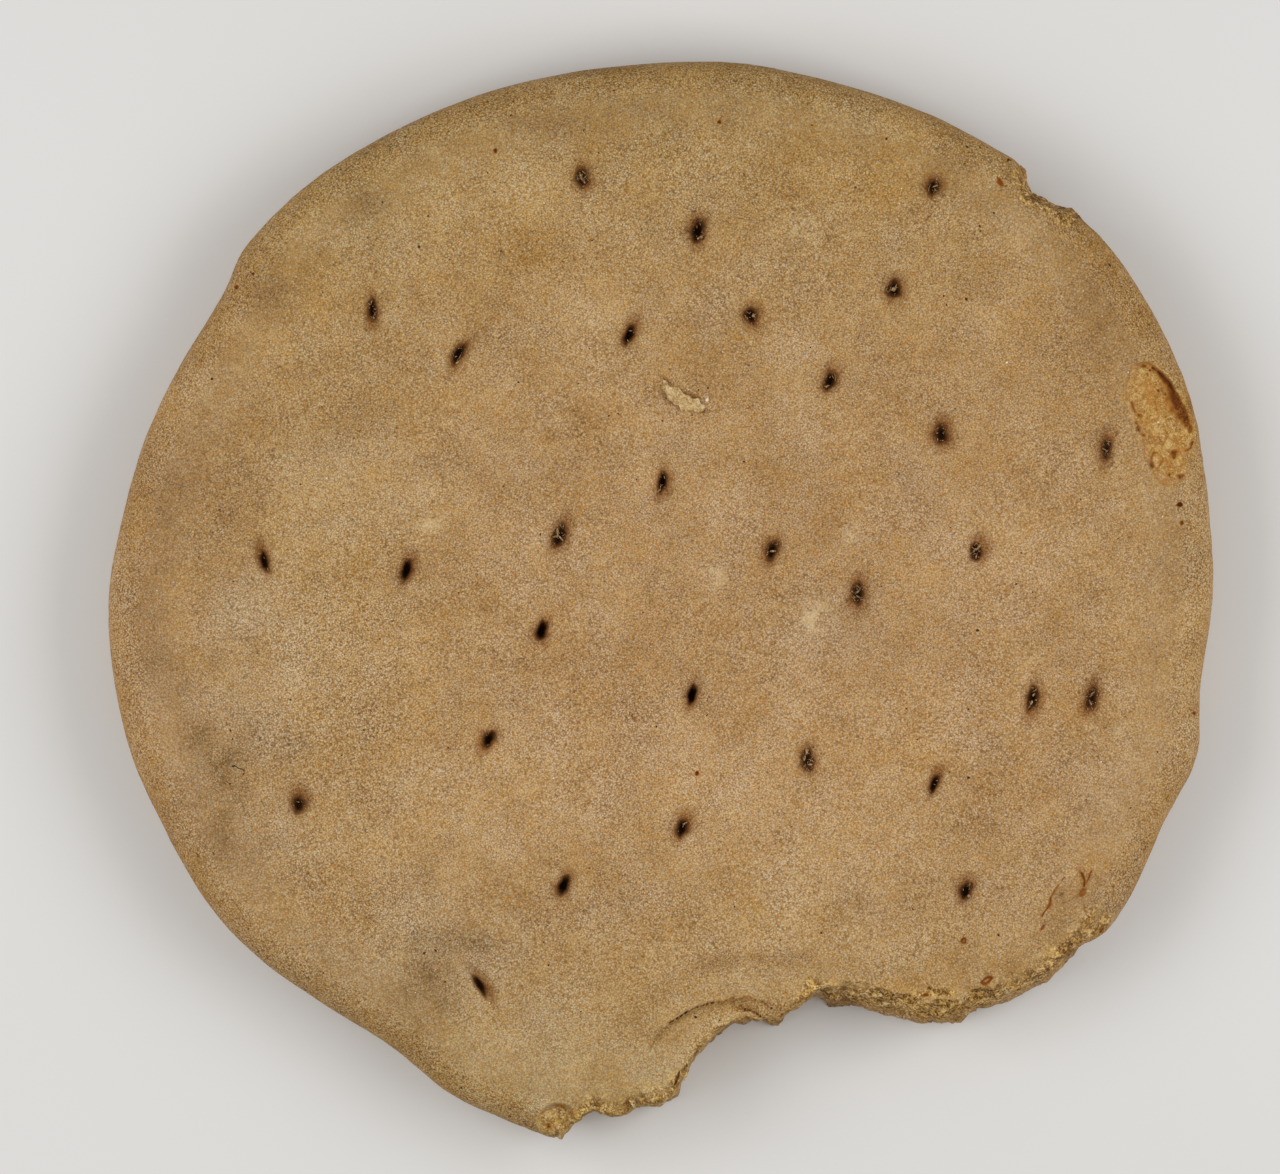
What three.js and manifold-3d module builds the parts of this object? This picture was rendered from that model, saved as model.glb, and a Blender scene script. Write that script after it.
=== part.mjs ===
// A round ship's biscuit of hard-baked flour and water, lying face up on its flat underside.
// Millimetres, +Z up. The origin is on the table under the middle of the biscuit.
// The broken edge faces -Y.

import * as THREE from "three";
import { mergeVertices } from "three/addons/utils/BufferGeometryUtils.js";
import { ImprovedNoise } from "three/addons/math/ImprovedNoise.js";
import Module from "manifold-3d";

// Body: a disc 100 mm across, flat below, with a pillowed face and a full round edge.
const THICKNESS = 11;
const WAIST_HEIGHT = 6.8;
const FACE_ROUNDNESS = 15;
const BASE_FLAT_SHARE = 0.94;
const EDGE_STEPS = 120;
const FACE_RINGS = [0.2, 0.4, 0.6, 0.74, 0.84, 0.9, 0.94, 0.966, 0.986, 0.997];
const UNDERSIDE_RINGS = [0.965, 0.985, 0.997];
const FACE_SWELL = 0.3;
const FACE_SWELL_LENGTH = 26;

// The edge as it was moulded, anticlockwise from +X, uneven as a hand-rolled edge is.
const MOULDED_EDGE = [
  [50.0, 0.4], [49.5, 9.3], [48.3, 17.0], [45.6, 24.0], [41.3, 31.1], [35.6, 37.0],
  [32.7, 39.4], [26.6, 42.9], [20.2, 45.5], [13.3, 47.5], [6.0, 48.7], [-2.2, 48.5],
  [-9.0, 47.6], [-16.3, 45.8], [-23.6, 42.7], [-31.9, 37.7], [-38.0, 31.4], [-39.3, 28.3],
  [-43.0, 22.1], [-46.7, 14.5], [-48.9, 6.5], [-50.0, 0.7], [-49.6, -6.1], [-48.2, -13.1],
  [-45.3, -19.9], [-40.6, -28.0], [-35.5, -33.1], [-30.3, -36.7], [-23.9, -40.7], [-19.1, -44.7],
  [-14.4, -46.8], [-9.6, -48.7], [3.0, -49.5], [17.1, -45.6], [30.7, -38.4], [41.4, -28.6],
  [45.8, -19.5], [48.0, -15.8], [48.9, -12.3], [48.7, -9.3],
];

// Where the biscuit is broken: the foot of the broken face from left to right, then corners well outside it.
// Lean is how far the face falls back between its foot and the crust above it.
const BROKEN_EDGE = {
  foot: [
    [-9.2, -51.0], [-8.8, -48.7], [-7.9, -47.5], [-6.8, -46.5], [-5.8, -46.3], [-4.1, -46.8], [-1.8, -45.9],
    [0.0, -45.7], [1.1, -44.9], [2.1, -43.3], [2.7, -41.6], [4.2, -40.1], [5.4, -38.9], [7.9, -38.0],
    [10.4, -38.3], [11.4, -37.4], [13.6, -35.9], [14.7, -35.9], [15.6, -36.7], [17.7, -36.8], [21.2, -37.7],
    [23.6, -38.2], [26.6, -38.2], [28.4, -37.2], [30.7, -36.5], [33.4, -35.4], [35.9, -33.7], [37.4, -31.9],
    [39.0, -30.6], [40.5, -30.2], [41.4, -29.0], [43.5, -28.6],
  ],
  outside: [[60, -30], [60, -70], [-10, -70]],
  leanDirection: [0, 1],
  steps: 92,
};
const BITE_LEAN = 0.5;
const SLOPE_LEAN = 2.4;
const SLOPE_FROM = [13, 17];
const SLOPE_TO = [33, 39];

// A chip out of the upper right of the edge.
const CHIPPED_EDGE = {
  foot: [
    [32.4, 41.0], [32.7, 39.5], [33.2, 37.8], [33.8, 36.9],
    [35.9, 35.7], [37.1, 35.4], [38.2, 34.9], [40.0, 34.4],
  ],
  outside: [[52, 40], [40, 52]],
  leanDirection: [-Math.SQRT1_2, -Math.SQRT1_2],
  steps: 14,
};
const CHIP_LEAN = 1.1;

// The broken faces fall back little near the foot and most under the crust.
const LEAN_CURVE = 3;

// Crags of the broken faces.
const CRAG_HEIGHT = 0.55;
const CRAG_LENGTH = 1.9;
const BREAK_LEVELS = 9;
const BREAK_MARGIN = 1;

// Docker holes: oval pricks, each as x, y, width, length and the lean of its top to the right, in degrees.
const DOCKER_HOLES = [
  [-7.1, 38.2, 1.3, 2.1, 5], [3.4, 33.4, 1.5, 2.1, 10], [24.6, 37.4, 1.3, 1.4, 0],
  [21.1, 28.2, 1.4, 1.8, 0], [8.1, 25.9, 1.2, 1.8, 0], [-2.9, 24.1, 1.0, 2.2, 30],
  [-26.0, 26.2, 1.0, 2.1, 0], [-18.3, 22.3, 1.0, 2.2, 28], [15.2, 19.9, 1.1, 2.1, 20],
  [25.2, 15.1, 1.3, 2.2, 10], [40.1, 13.9, 1.0, 2.4, 12], [0.1, 10.7, 1.0, 2.0, 10],
  [-9.2, 5.9, 1.3, 2.5, 15], [10.1, 4.5, 0.9, 2.2, 18], [28.4, 4.5, 1.2, 1.9, 10],
  [17.8, 0.7, 1.2, 2.1, 10], [-35.8, 3.7, 0.9, 2.2, -20], [-23.0, 2.9, 0.9, 2.2, 12],
  [-10.8, -2.6, 1.0, 2.1, 18], [2.9, -8.4, 0.8, 2.0, 20], [33.6, -8.8, 1.2, 2.3, 15],
  [38.8, -8.8, 1.2, 2.4, 12], [-15.5, -12.4, 1.1, 1.8, 25], [-32.6, -18.2, 1.2, 1.9, 0],
  [13.3, -14.3, 1.1, 2.2, 5], [24.6, -16.4, 0.8, 1.8, 25], [1.8, -20.5, 1.3, 1.9, 15],
  [-8.8, -25.6, 1.0, 2.1, 18], [27.5, -26.2, 1.0, 2.0, 25], [-16.2, -34.7, 0.9, 2.4, -30],
];
const HOLE_SIDES = 10;
// The hole from its tip to its flared mouth, as shares of its half width and heights from the face.
const HOLE_PROFILE = [
  [0, -5.4], [0.5, -5.0], [0.75, -2.8], [0.9, -0.8], [1.1, -0.25], [1.7, 0.1], [1.7, 1], [0, 1],
];

// Hollows in the crust: a burst blister beside the right edge, and a crumbled pocket at the broken tip.
const BLISTER = { x: 45.1, y: 16.1, length: 11.4, width: 5.8, depth: 1.5, turn: 14, detail: 4 };
const TIP_POCKET = { x: -9.3, y: -46.9, length: 3.2, width: 3.4, depth: 1.2, turn: 0, detail: 2 };
const HOLLOW_CRAG = 0.12;
const HOLLOW_CRAG_LENGTH = 0.5;

// A flake of dough that stuck to the face.
const FLAKE = { x: 2.1, y: 18.4, length: 5.0, width: 1.7, height: 0.5, turn: -34, detail: 3 };

const CRUST_COLOUR = 0xaa885d;
const CRUST_ROUGHNESS = 0.85;
const MERGE_DISTANCE = 1e-4;
const FALL_STEP = 0.5;

const wasm = await Module();
wasm.setup();
const noise = new ImprovedNoise();

// Evenly varying value between -1 and 1 at a point, with features of the given length.
function wander(x, y, z, length) {
  return noise.noise(x / length, y / length, z / length);
}

// A closed three.js geometry as a solid that can be joined and cut.
function toSolid(geometry) {
  geometry.deleteAttribute("normal");
  geometry.deleteAttribute("uv");
  const merged = mergeVertices(geometry, MERGE_DISTANCE);
  const corners = merged.index.array;
  const triVerts = [];
  for (let i = 0; i < corners.length; i += 3) {
    const [a, b, c] = corners.slice(i, i + 3);
    if (a !== b && b !== c && c !== a) triVerts.push(a, b, c);
  }
  const vertProperties = merged.attributes.position.array;
  const mesh = new wasm.Mesh({ numProp: 3, vertProperties, triVerts: new Uint32Array(triVerts) });
  return new wasm.Manifold(mesh);
}

function toGeometry(solid) {
  const mesh = solid.getMesh();
  const geometry = new THREE.BufferGeometry();
  geometry.setAttribute("position", new THREE.BufferAttribute(mesh.vertProperties, mesh.numProp));
  geometry.setIndex(new THREE.BufferAttribute(mesh.triVerts, 1));
  return geometry;
}

// Moves every vertex of a geometry by a function of its place.
function reshape(geometry, move) {
  const position = geometry.attributes.position;
  const point = new THREE.Vector3();
  for (let i = 0; i < position.count; i++) {
    point.fromBufferAttribute(position, i);
    move(point);
    position.setXYZ(i, point.x, point.y, point.z);
  }
  return geometry;
}

// The moulded edge as a table of bearing and distance from the middle, for looking up.
const edgeCurve = new THREE.CatmullRomCurve3(
  MOULDED_EDGE.map(([x, y]) => new THREE.Vector3(x, y, 0)),
  true,
);
const edgeSamples = edgeCurve
  .getPoints(MOULDED_EDGE.length * 12)
  .map((p) => ({ bearing: Math.atan2(p.y, p.x), distance: Math.hypot(p.x, p.y) }))
  .sort((a, b) => a.bearing - b.bearing);

function edgeDistance(bearing) {
  const after = edgeSamples.findIndex((s) => s.bearing > bearing);
  const next = edgeSamples[after < 0 ? 0 : after];
  const last = edgeSamples.at(after < 0 ? -1 : after - 1);
  const turn = 2 * Math.PI;
  const gap = (next.bearing - last.bearing + turn) % turn;
  const along = (bearing - last.bearing + turn) % turn;
  return THREE.MathUtils.lerp(last.distance, next.distance, gap > 0 ? along / gap : 0);
}

// Height of the pillowed face above the waist, as a share, at a share of the way out to the edge.
function pillow(share) {
  return Math.sqrt(1 - Math.min(1, share) ** FACE_ROUNDNESS);
}

function faceHeight(x, y) {
  const share = Math.hypot(x, y) / edgeDistance(Math.atan2(y, x));
  const swell = FACE_SWELL * wander(x, y, 0, FACE_SWELL_LENGTH);
  return WAIST_HEIGHT + (THICKNESS - WAIST_HEIGHT + swell) * pillow(share);
}

// Height of the round underside below the waist, at a share of the way out to the edge.
function undersideHeight(share) {
  const round = (share - BASE_FLAT_SHARE) / (1 - BASE_FLAT_SHARE);
  return WAIST_HEIGHT * (1 - Math.sqrt(1 - round ** 2));
}

// The whole moulded biscuit: a turned section, drawn out to the uneven edge and given its uneven face.
function mouldedBody() {
  const section = [new THREE.Vector2(0, 0), new THREE.Vector2(BASE_FLAT_SHARE, 0)];
  for (const share of UNDERSIDE_RINGS) section.push(new THREE.Vector2(share, undersideHeight(share)));
  section.push(new THREE.Vector2(1, WAIST_HEIGHT));
  for (const share of FACE_RINGS.toReversed()) section.push(new THREE.Vector2(share, THICKNESS));
  section.push(new THREE.Vector2(0, THICKNESS));
  const turned = new THREE.LatheGeometry(section, EDGE_STEPS).rotateX(Math.PI / 2);
  return toSolid(
    reshape(turned, (p) => {
      const bearing = Math.atan2(p.y, p.x);
      const distance = Math.hypot(p.x, p.y) * edgeDistance(bearing);
      p.x = distance * Math.cos(bearing);
      p.y = distance * Math.sin(bearing);
      if (p.z > WAIST_HEIGHT) p.z = faceHeight(p.x, p.y);
    }),
  );
}

// What has broken away beyond a broken edge: a block whose near wall leans back and is craggy all over.
function brokenAway({ foot, outside, leanDirection, steps }, leanAt) {
  const path = new THREE.SplineCurve(foot.map(([x, y]) => new THREE.Vector2(x, y))).getPoints(steps);
  const outline = new THREE.Shape([...path, ...outside.map(([x, y]) => new THREE.Vector2(x, y))]);
  const depth = THICKNESS + 2 * BREAK_MARGIN;
  const block = new THREE.ExtrudeGeometry(outline, { depth, steps: BREAK_LEVELS, bevelEnabled: false });
  block.translate(0, 0, -BREAK_MARGIN);
  return toSolid(
    reshape(block, (p) => {
      const lean = leanAt(p.x) * Math.max(0, p.z / THICKNESS) ** LEAN_CURVE;
      const cragX = CRAG_HEIGHT * wander(p.x, p.y, p.z, CRAG_LENGTH);
      const cragY = CRAG_HEIGHT * wander(p.y, p.z, p.x, CRAG_LENGTH);
      p.x += lean * leanDirection[0] + cragX;
      p.y += lean * leanDirection[1] + cragY;
    }),
  );
}

// The bite stands nearly upright, and the break to its right slopes back from its foot.
function brokenLean(x) {
  const { smoothstep, lerp } = THREE.MathUtils;
  return lerp(BITE_LEAN, SLOPE_LEAN, smoothstep(x, ...SLOPE_FROM) * (1 - smoothstep(x, ...SLOPE_TO)));
}

function dockerHole([x, y, width, length, lean]) {
  const profile = HOLE_PROFILE.map(([share, height]) => new THREE.Vector2(share, height));
  const prick = new THREE.LatheGeometry(profile, HOLE_SIDES).rotateX(Math.PI / 2);
  prick.scale(width / 2, length / 2, 1);
  prick.rotateZ(-THREE.MathUtils.degToRad(lean));
  prick.translate(x, y, faceHeight(x, y));
  return toSolid(prick);
}

// How steeply the face falls outwards at a place, as an angle.
function faceFall(x, y) {
  const reach = FALL_STEP / Math.hypot(x, y);
  const drop = faceHeight(x * (1 - reach), y * (1 - reach)) - faceHeight(x * (1 + reach), y * (1 + reach));
  return Math.atan2(drop, 2 * FALL_STEP);
}

// A hollow broken into the crust, tipped to follow the fall of the face towards the edge.
function crustHollow({ x, y, length, width, depth, turn, detail }) {
  const hollow = reshape(new THREE.IcosahedronGeometry(1, detail), (p) => {
    p.multiplyScalar(1 + HOLLOW_CRAG * wander(p.x, p.y, p.z, HOLLOW_CRAG_LENGTH));
  });
  const bearing = Math.atan2(y, x);
  hollow.scale(width / 2, length / 2, depth);
  hollow.rotateZ(THREE.MathUtils.degToRad(turn) - bearing);
  hollow.rotateY(faceFall(x, y));
  hollow.rotateZ(bearing);
  hollow.translate(x, y, faceHeight(x, y));
  return toSolid(hollow);
}

// A long low scrap, half sunk in the face.
function stuckFlake({ x, y, length, width, height, turn, detail }) {
  const scrap = new THREE.IcosahedronGeometry(1, detail);
  scrap.scale(length / 2, width / 2, height);
  scrap.rotateZ(THREE.MathUtils.degToRad(turn));
  scrap.translate(x, y, faceHeight(x, y));
  return toSolid(scrap);
}

let biscuit = mouldedBody().add(stuckFlake(FLAKE));
biscuit = biscuit.subtract(brokenAway(BROKEN_EDGE, brokenLean));
biscuit = biscuit.subtract(brokenAway(CHIPPED_EDGE, () => CHIP_LEAN));
for (const hollow of [BLISTER, TIP_POCKET]) biscuit = biscuit.subtract(crustHollow(hollow));
for (const hole of DOCKER_HOLES) biscuit = biscuit.subtract(dockerHole(hole));

// The middle of the biscuit's outline is set over the origin.
const geometry = toGeometry(biscuit);
geometry.computeBoundingBox();
const middle = geometry.boundingBox.getCenter(new THREE.Vector3());
geometry.translate(-middle.x, -middle.y, 0);
geometry.computeVertexNormals();

const crust = new THREE.MeshStandardMaterial({
  color: CRUST_COLOUR,
  roughness: CRUST_ROUGHNESS,
  metalness: 0,
});
const mesh = new THREE.Mesh(geometry, crust);
mesh.name = "biscuit";

const hardtack = new THREE.Group();
hardtack.add(mesh);

export default hardtack;
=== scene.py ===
# A round ship's biscuit, hard baked, pricked, bitten and broken: its looks, laid over its solid.
# Shapes are modelled in millimetres and brought to metres when they are finished.

import math

import bmesh
import bpy
import numpy as np
from mathutils import Euler, Matrix, Vector, noise
from mathutils.bvhtree import BVHTree


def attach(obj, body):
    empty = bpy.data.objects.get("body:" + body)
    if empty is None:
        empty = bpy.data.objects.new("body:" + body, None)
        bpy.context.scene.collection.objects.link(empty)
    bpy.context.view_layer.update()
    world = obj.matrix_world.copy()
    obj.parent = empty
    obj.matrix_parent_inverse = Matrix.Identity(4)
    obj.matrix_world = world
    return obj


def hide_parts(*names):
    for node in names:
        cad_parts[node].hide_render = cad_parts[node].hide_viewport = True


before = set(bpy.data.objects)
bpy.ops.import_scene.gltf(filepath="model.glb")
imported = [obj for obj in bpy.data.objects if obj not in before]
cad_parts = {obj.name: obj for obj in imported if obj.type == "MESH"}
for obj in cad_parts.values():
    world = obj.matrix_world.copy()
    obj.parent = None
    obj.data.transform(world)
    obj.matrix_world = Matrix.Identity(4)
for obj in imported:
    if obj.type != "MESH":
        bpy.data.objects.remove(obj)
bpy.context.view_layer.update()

MM = 0.001
TURN = 2 * math.pi
BODY = "root"
draw = np.random.default_rng(1801)

# The sheet of dough that is laid over the solid: its cells, and the share of its rings that stay on the face.
SHEET_CELLS = 160
FACE_SHARE = 0.72
EDGE_REACH = 5.0
CORE_HEIGHT = 4.5
OUTLINE_STEPS = 3600
OUTLINE_HEIGHTS = (1.5, 3.5, 5.5, 7.0)
OUTLINE_SOFTNESS = 220
RAY_START = 80.0
BASE_RINGS = (0.93, 0.9, 0.86, 0.8, 0.7, 0.5)

# Docker holes: x, y, width, length, lean of the top to the right in degrees, how full of crumbs it is,
# how far its worn mouth lies to the right and above, and its depth.
DOCKER_HOLES = [
    (-7.1, 38.2, 1.3, 1.9, 5, 0.9, 0.1, 0.0, 1.2), (3.36, 33.4, 1.45, 2.0, 10, 0.4, 0.0, 0.0, 2.0),
    (24.6, 37.35, 1.3, 1.4, 0, 0.6, 0.0, 0.1, 1.2), (21.06, 28.14, 1.35, 1.75, 0, 0.5, 0.1, 0.0, 1.7),
    (8.16, 25.74, 1.2, 1.7, 0, 0.45, 0.1, -0.1, 1.6), (-2.84, 24.04, 0.95, 2.0, 30, 0.1, 0.15, 0.25, 1.8),
    (-26.0, 26.24, 0.95, 2.0, 0, 0.75, 0.0, -0.3, 1.2), (-18.24, 22.3, 1.0, 2.1, 28, 0.4, 0.1, 0.0, 1.6),
    (15.26, 19.84, 1.05, 2.0, 20, 0.45, 0.1, 0.2, 1.5), (25.3, 15.04, 1.3, 2.1, 10, 0.45, 0.1, 0.1, 1.6),
    (40.24, 13.74, 1.05, 2.2, 12, 0.9, -0.1, 0.1, 0.9), (0.16, 10.74, 1.0, 1.9, 10, 0.4, 0.1, -0.2, 1.6),
    (-9.14, 5.84, 1.3, 2.3, 15, 0.5, 0.2, 0.2, 1.6), (10.06, 4.5, 0.95, 2.1, 18, 0.25, -0.05, 0.0, 1.5),
    (28.4, 4.34, 1.1, 1.8, 10, 0.6, 0.4, 0.3, 1.5), (17.78, 0.64, 1.25, 2.1, 10, 0.9, 0.0, 0.0, 1.2),
    (-35.76, 3.54, 0.9, 1.9, -18, 0.1, -0.12, 0.4, 1.5),
    (-22.94, 2.74, 0.95, 2.1, 12, 0.0, 0.15, 0.2, 2.2),
    (-10.74, -2.74, 0.95, 1.9, 18, 0.0, 0.0, 0.0, 2.5), (2.86, -8.5, 0.85, 1.9, 20, 0.0, 0.0, 0.0, 2.5),
    (33.58, -8.84, 1.2, 2.2, 15, 0.55, 0.05, -0.3, 1.6),
    (38.9, -8.84, 1.25, 2.3, 12, 0.95, 0.0, 0.1, 1.2),
    (-15.54, -12.54, 1.05, 1.7, 25, 0.1, -0.05, -0.1, 2.0),
    (-32.64, -18.4, 1.2, 1.8, 0, 0.15, 0.05, 0.45, 1.4), (13.28, -14.42, 1.2, 2.0, 5, 1.0, 0.0, 0.1, 1.2),
    (24.7, -16.54, 0.8, 1.8, 25, 0.1, 0.15, 0.4, 1.5),
    (1.94, -20.54, 1.25, 1.75, 15, 0.15, 0.1, 0.3, 1.7),
    (-8.74, -25.74, 0.95, 2.0, 18, 0.0, 0.05, 0.1, 2.2),
    (27.54, -26.24, 1.05, 1.9, 25, 0.3, 0.0, 0.2, 1.7),
    (-16.34, -34.74, 0.8, 2.4, -30, 0.0, 0.4, 0.1, 1.5),
]
FUNNEL_DEPTH = 0.3

# The lids of sound crust over the holes: how far they reach, their steps and rings, and how far beyond them
# the crust is felt for its curve.
LID_REACH = 2.35
LID_STEPS = 16
LID_RINGS = (0.34, 0.67, 1.0)
LID_FEELERS = (0.15, 0.7, 1.2)

# How far round the fine relief the sheet is split in each round, in hole sizes, in millimetres and in rings.
HOLE_REFINING = (2.8, 2.1, 1.35)
REFINING_SPARE = (1.2, 0.8, 0.3)
CRACK_SPARE = 0.1
BROKEN_RINGS = ((0.73, 0.95), (0.735, 0.87), (0.74, 0.78))

# Scraps of crumb caught in the holes: x, y, half length, half width and the bearing that each points along.
SCRAP_DROP = 0.3
HOLE_SCRAPS = [
    (-7.2, 38.3, 0.50, 0.10, -70), (-6.95, 37.9, 0.30, 0.09, -60), (3.66, 32.8, 0.16, 0.13, 0),
    (3.4, 32.7, 0.13, 0.1, 40), (24.95, 38.1, 0.22, 0.14, 80), (24.75, 37.4, 0.22, 0.08, 30),
    (21.06, 28.12, 0.2, 0.17, 20), (21.2, 28.3, 0.26, 0.07, 60), (20.95, 28.0, 0.24, 0.07, -20),
    (8.38, 25.68, 0.16, 0.14, 0), (-18.3, 21.5, 0.24, 0.09, 30), (-18.05, 21.6, 0.12, 0.1, 0),
    (15.05, 19.35, 0.2, 0.1, 20), (-9.34, 6.5, 0.66, 0.11, 100), (-9.5, 5.78, 0.32, 0.10, 12),
    (-8.98, 5.62, 0.34, 0.10, -50), (10.16, 4.46, 0.34, 0.09, 6), (28.74, 4.9, 0.46, 0.12, 55),
    (28.3, 4.5, 0.24, 0.1, 60), (28.5, 4.0, 0.26, 0.08, 75), (17.8, 0.8, 0.3, 0.09, 40),
    (17.9, 0.3, 0.24, 0.08, -30), (33.7, -8.5, 0.22, 0.1, 45), (33.5, -9.2, 0.24, 0.09, 70),
    (38.95, -8.4, 0.26, 0.09, 60), (38.8, -9.2, 0.3, 0.09, -60), (13.16, -13.5, 0.42, 0.13, 96),
    (13.0, -14.2, 0.26, 0.1, 70), (13.5, -14.8, 0.24, 0.1, 10), (2.2, -20.1, 0.3, 0.06, 25),
    (27.88, -26.7, 0.22, 0.14, -30),
]

# Stretches of the edge, as bearings in degrees: all that is bitten or broken, where it is roughest, where
# loose crumb shows, the chip, and the narrow rim beside the crescent crack.
BREAK_BEARINGS = (-101.2, -35.0)
CRUMB_BEARINGS = (-70.0, -49.5)
LOOSE_BEARINGS = (-71.5, -46.5)
CHIP_BEARINGS = (42.4, 50.6)
CRESCENT_BEARINGS = (-88.0, -70.0)

# How wide the crumb along the chip is, and the heights between which the sound crust begins.
CHIP_WIDTH = 1.1
CRUST_TOP = (9.7, 10.2)

# Places on the face where crumb shows or, below nought, where crust still covers it: x, y, half width,
# half length and strength.
CRUMB_PATCHES = [(25.0, -35.4, 2.7, 0.55, 0.75), (16.6, -34.9, 2.4, 0.5, -1.0), (28.6, -35.4, 0.9, 0.5, 0.5)]

# How rough the firm broken edge is beside the crumbling one, its nicks, and how far its crust is drawn out.
FIRM_BREAK = 0.7
NICK_DEPTH = 0.35
NICK_REACH = 1.6
EDGE_DRAW = 1.8

# How wide the crumb along the bite's rim is, and how much crumb shows there, on firm faces and on the chip.
BITE_RIM = 2.4
RIM_CRUMB = 0.8
FIRM_CRUMB = 0.45
CHIP_CRUMB = 0.78

# In degrees: how softly a broken stretch ends, how softly its wall ends, and how far its ends wander.
BREAK_FADE = 2.0
WALL_FADE = 5.0
BREAK_WANDER = 2.6

# The least break that counts, the ring where the foot begins, and how often the sound crust is evened out.
LEAST_BREAK = 0.02
FOOT_RING = 0.93
EVENING_ROUNDS = 14

# How the sound crust and the broken faces are roughened: the length and full height of each pattern.
ROUGHENING = (
    ("sound crust", 6.0, 0.16), ("sound crust", 1.7, 0.06),
    ("broken faces", 1.6, 0.5), ("broken faces", 0.4, 0.08),
)

# The burst blister by the right edge: its rim, the trench under its right lip, its cracks, each a line with
# its half width and strength, and its pockets, each as x, y, half width, half length and lean to the right.
BLISTER_RIM = [
    (42.5, 21.1), (43.3, 21.6), (44.3, 21.5), (45.9, 20.1), (47.5, 17.6), (48.1, 16.0), (48.2, 14.9),
    (47.8, 12.5), (47.2, 11.1), (46.4, 10.5), (45.4, 10.4), (44.6, 11.3), (43.3, 14.1), (42.5, 16.9),
    (41.9, 18.2), (41.9, 19.6),
]
BLISTER_BEARINGS = (9.5, 30.0)
BLISTER_DEPTH = 0.42
BLISTER_TRENCH = [
    (44.65, 21.07), (45.02, 20.77), (45.55, 20.09), (46.2, 19.1), (46.45, 18.4), (46.9, 17.4),
    (47.38, 16.5), (47.96, 15.4),
]
BLISTER_TRENCH_HALF_WIDTHS = (0.22, 0.26, 0.24, 0.34, 0.6, 0.62, 0.4, 0.2)
BLISTER_LINES = [
    ([(42.61, 21.22), (42.24, 20.39), (42.01, 19.34), (42.01, 18.43), (42.54, 17.83)], 0.13, 0.55),
    ([(42.54, 17.83), (42.84, 17.08), (43.37, 16.63)], 0.2, 0.9),
    ([(42.99, 16.02), (43.14, 15.42), (43.52, 14.97)], 0.24, 0.95),
    ([(43.52, 14.67), (43.74, 13.91), (43.67, 13.01), (44.12, 12.41)], 0.12, 0.55),
    ([(44.12, 12.41), (44.42, 11.8), (44.72, 11.2), (45.33, 10.52)], 0.12, 0.55),
    ([(45.33, 10.52), (46.38, 10.45), (47.29, 11.05), (47.59, 11.65)], 0.14, 0.55),
    ([(44.42, 12.1), (44.27, 12.56), (44.35, 13.01), (44.57, 13.39)], 0.14, 0.75),
    ([(44.57, 13.39), (45.02, 13.23), (45.4, 12.78), (44.8, 11.73)], 0.11, 0.7),
    ([(44.87, 18.74), (44.65, 17.98), (44.8, 17.23)], 0.13, 0.75),
    ([(44.12, 15.42), (44.42, 14.82), (44.72, 14.21), (45.33, 14.06)], 0.1, 0.5),
    ([(45.33, 14.06), (45.78, 14.82), (46.38, 14.37), (46.98, 14.59)], 0.1, 0.5),
    ([(48.11, 14.37), (47.89, 13.76), (47.44, 13.54)], 0.15, 0.95),
    ([(42.76, 21.3), (43.74, 21.45), (44.72, 21.22)], 0.13, 0.55),
]
BLISTER_POCKETS = [
    (46.38, 13.23, 0.34, 0.46, 20), (46.98, 11.2, 0.4, 0.26, 0), (44.95, 18.96, 0.15, 0.15, 0),
    (45.6, 18.62, 0.15, 0.15, 0), (44.33, 12.3, 0.2, 0.44, -10), (43.14, 15.55, 0.2, 0.3, -20),
    (43.6, 21.2, 0.3, 0.15, 0), (44.2, 20.8, 0.13, 0.13, 0), (45.95, 11.35, 0.12, 0.2, 0),
]

# The scar at the lower tip: x, y and reach, then its dark spot as x, y and half sizes, and how full it is.
TIP_POCKET = (-9.3, -47.2, 2.05)
TIP_SPOT = (-10.1, -47.5, 0.2, 0.3)
TIP_FILL = 0.75

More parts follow.
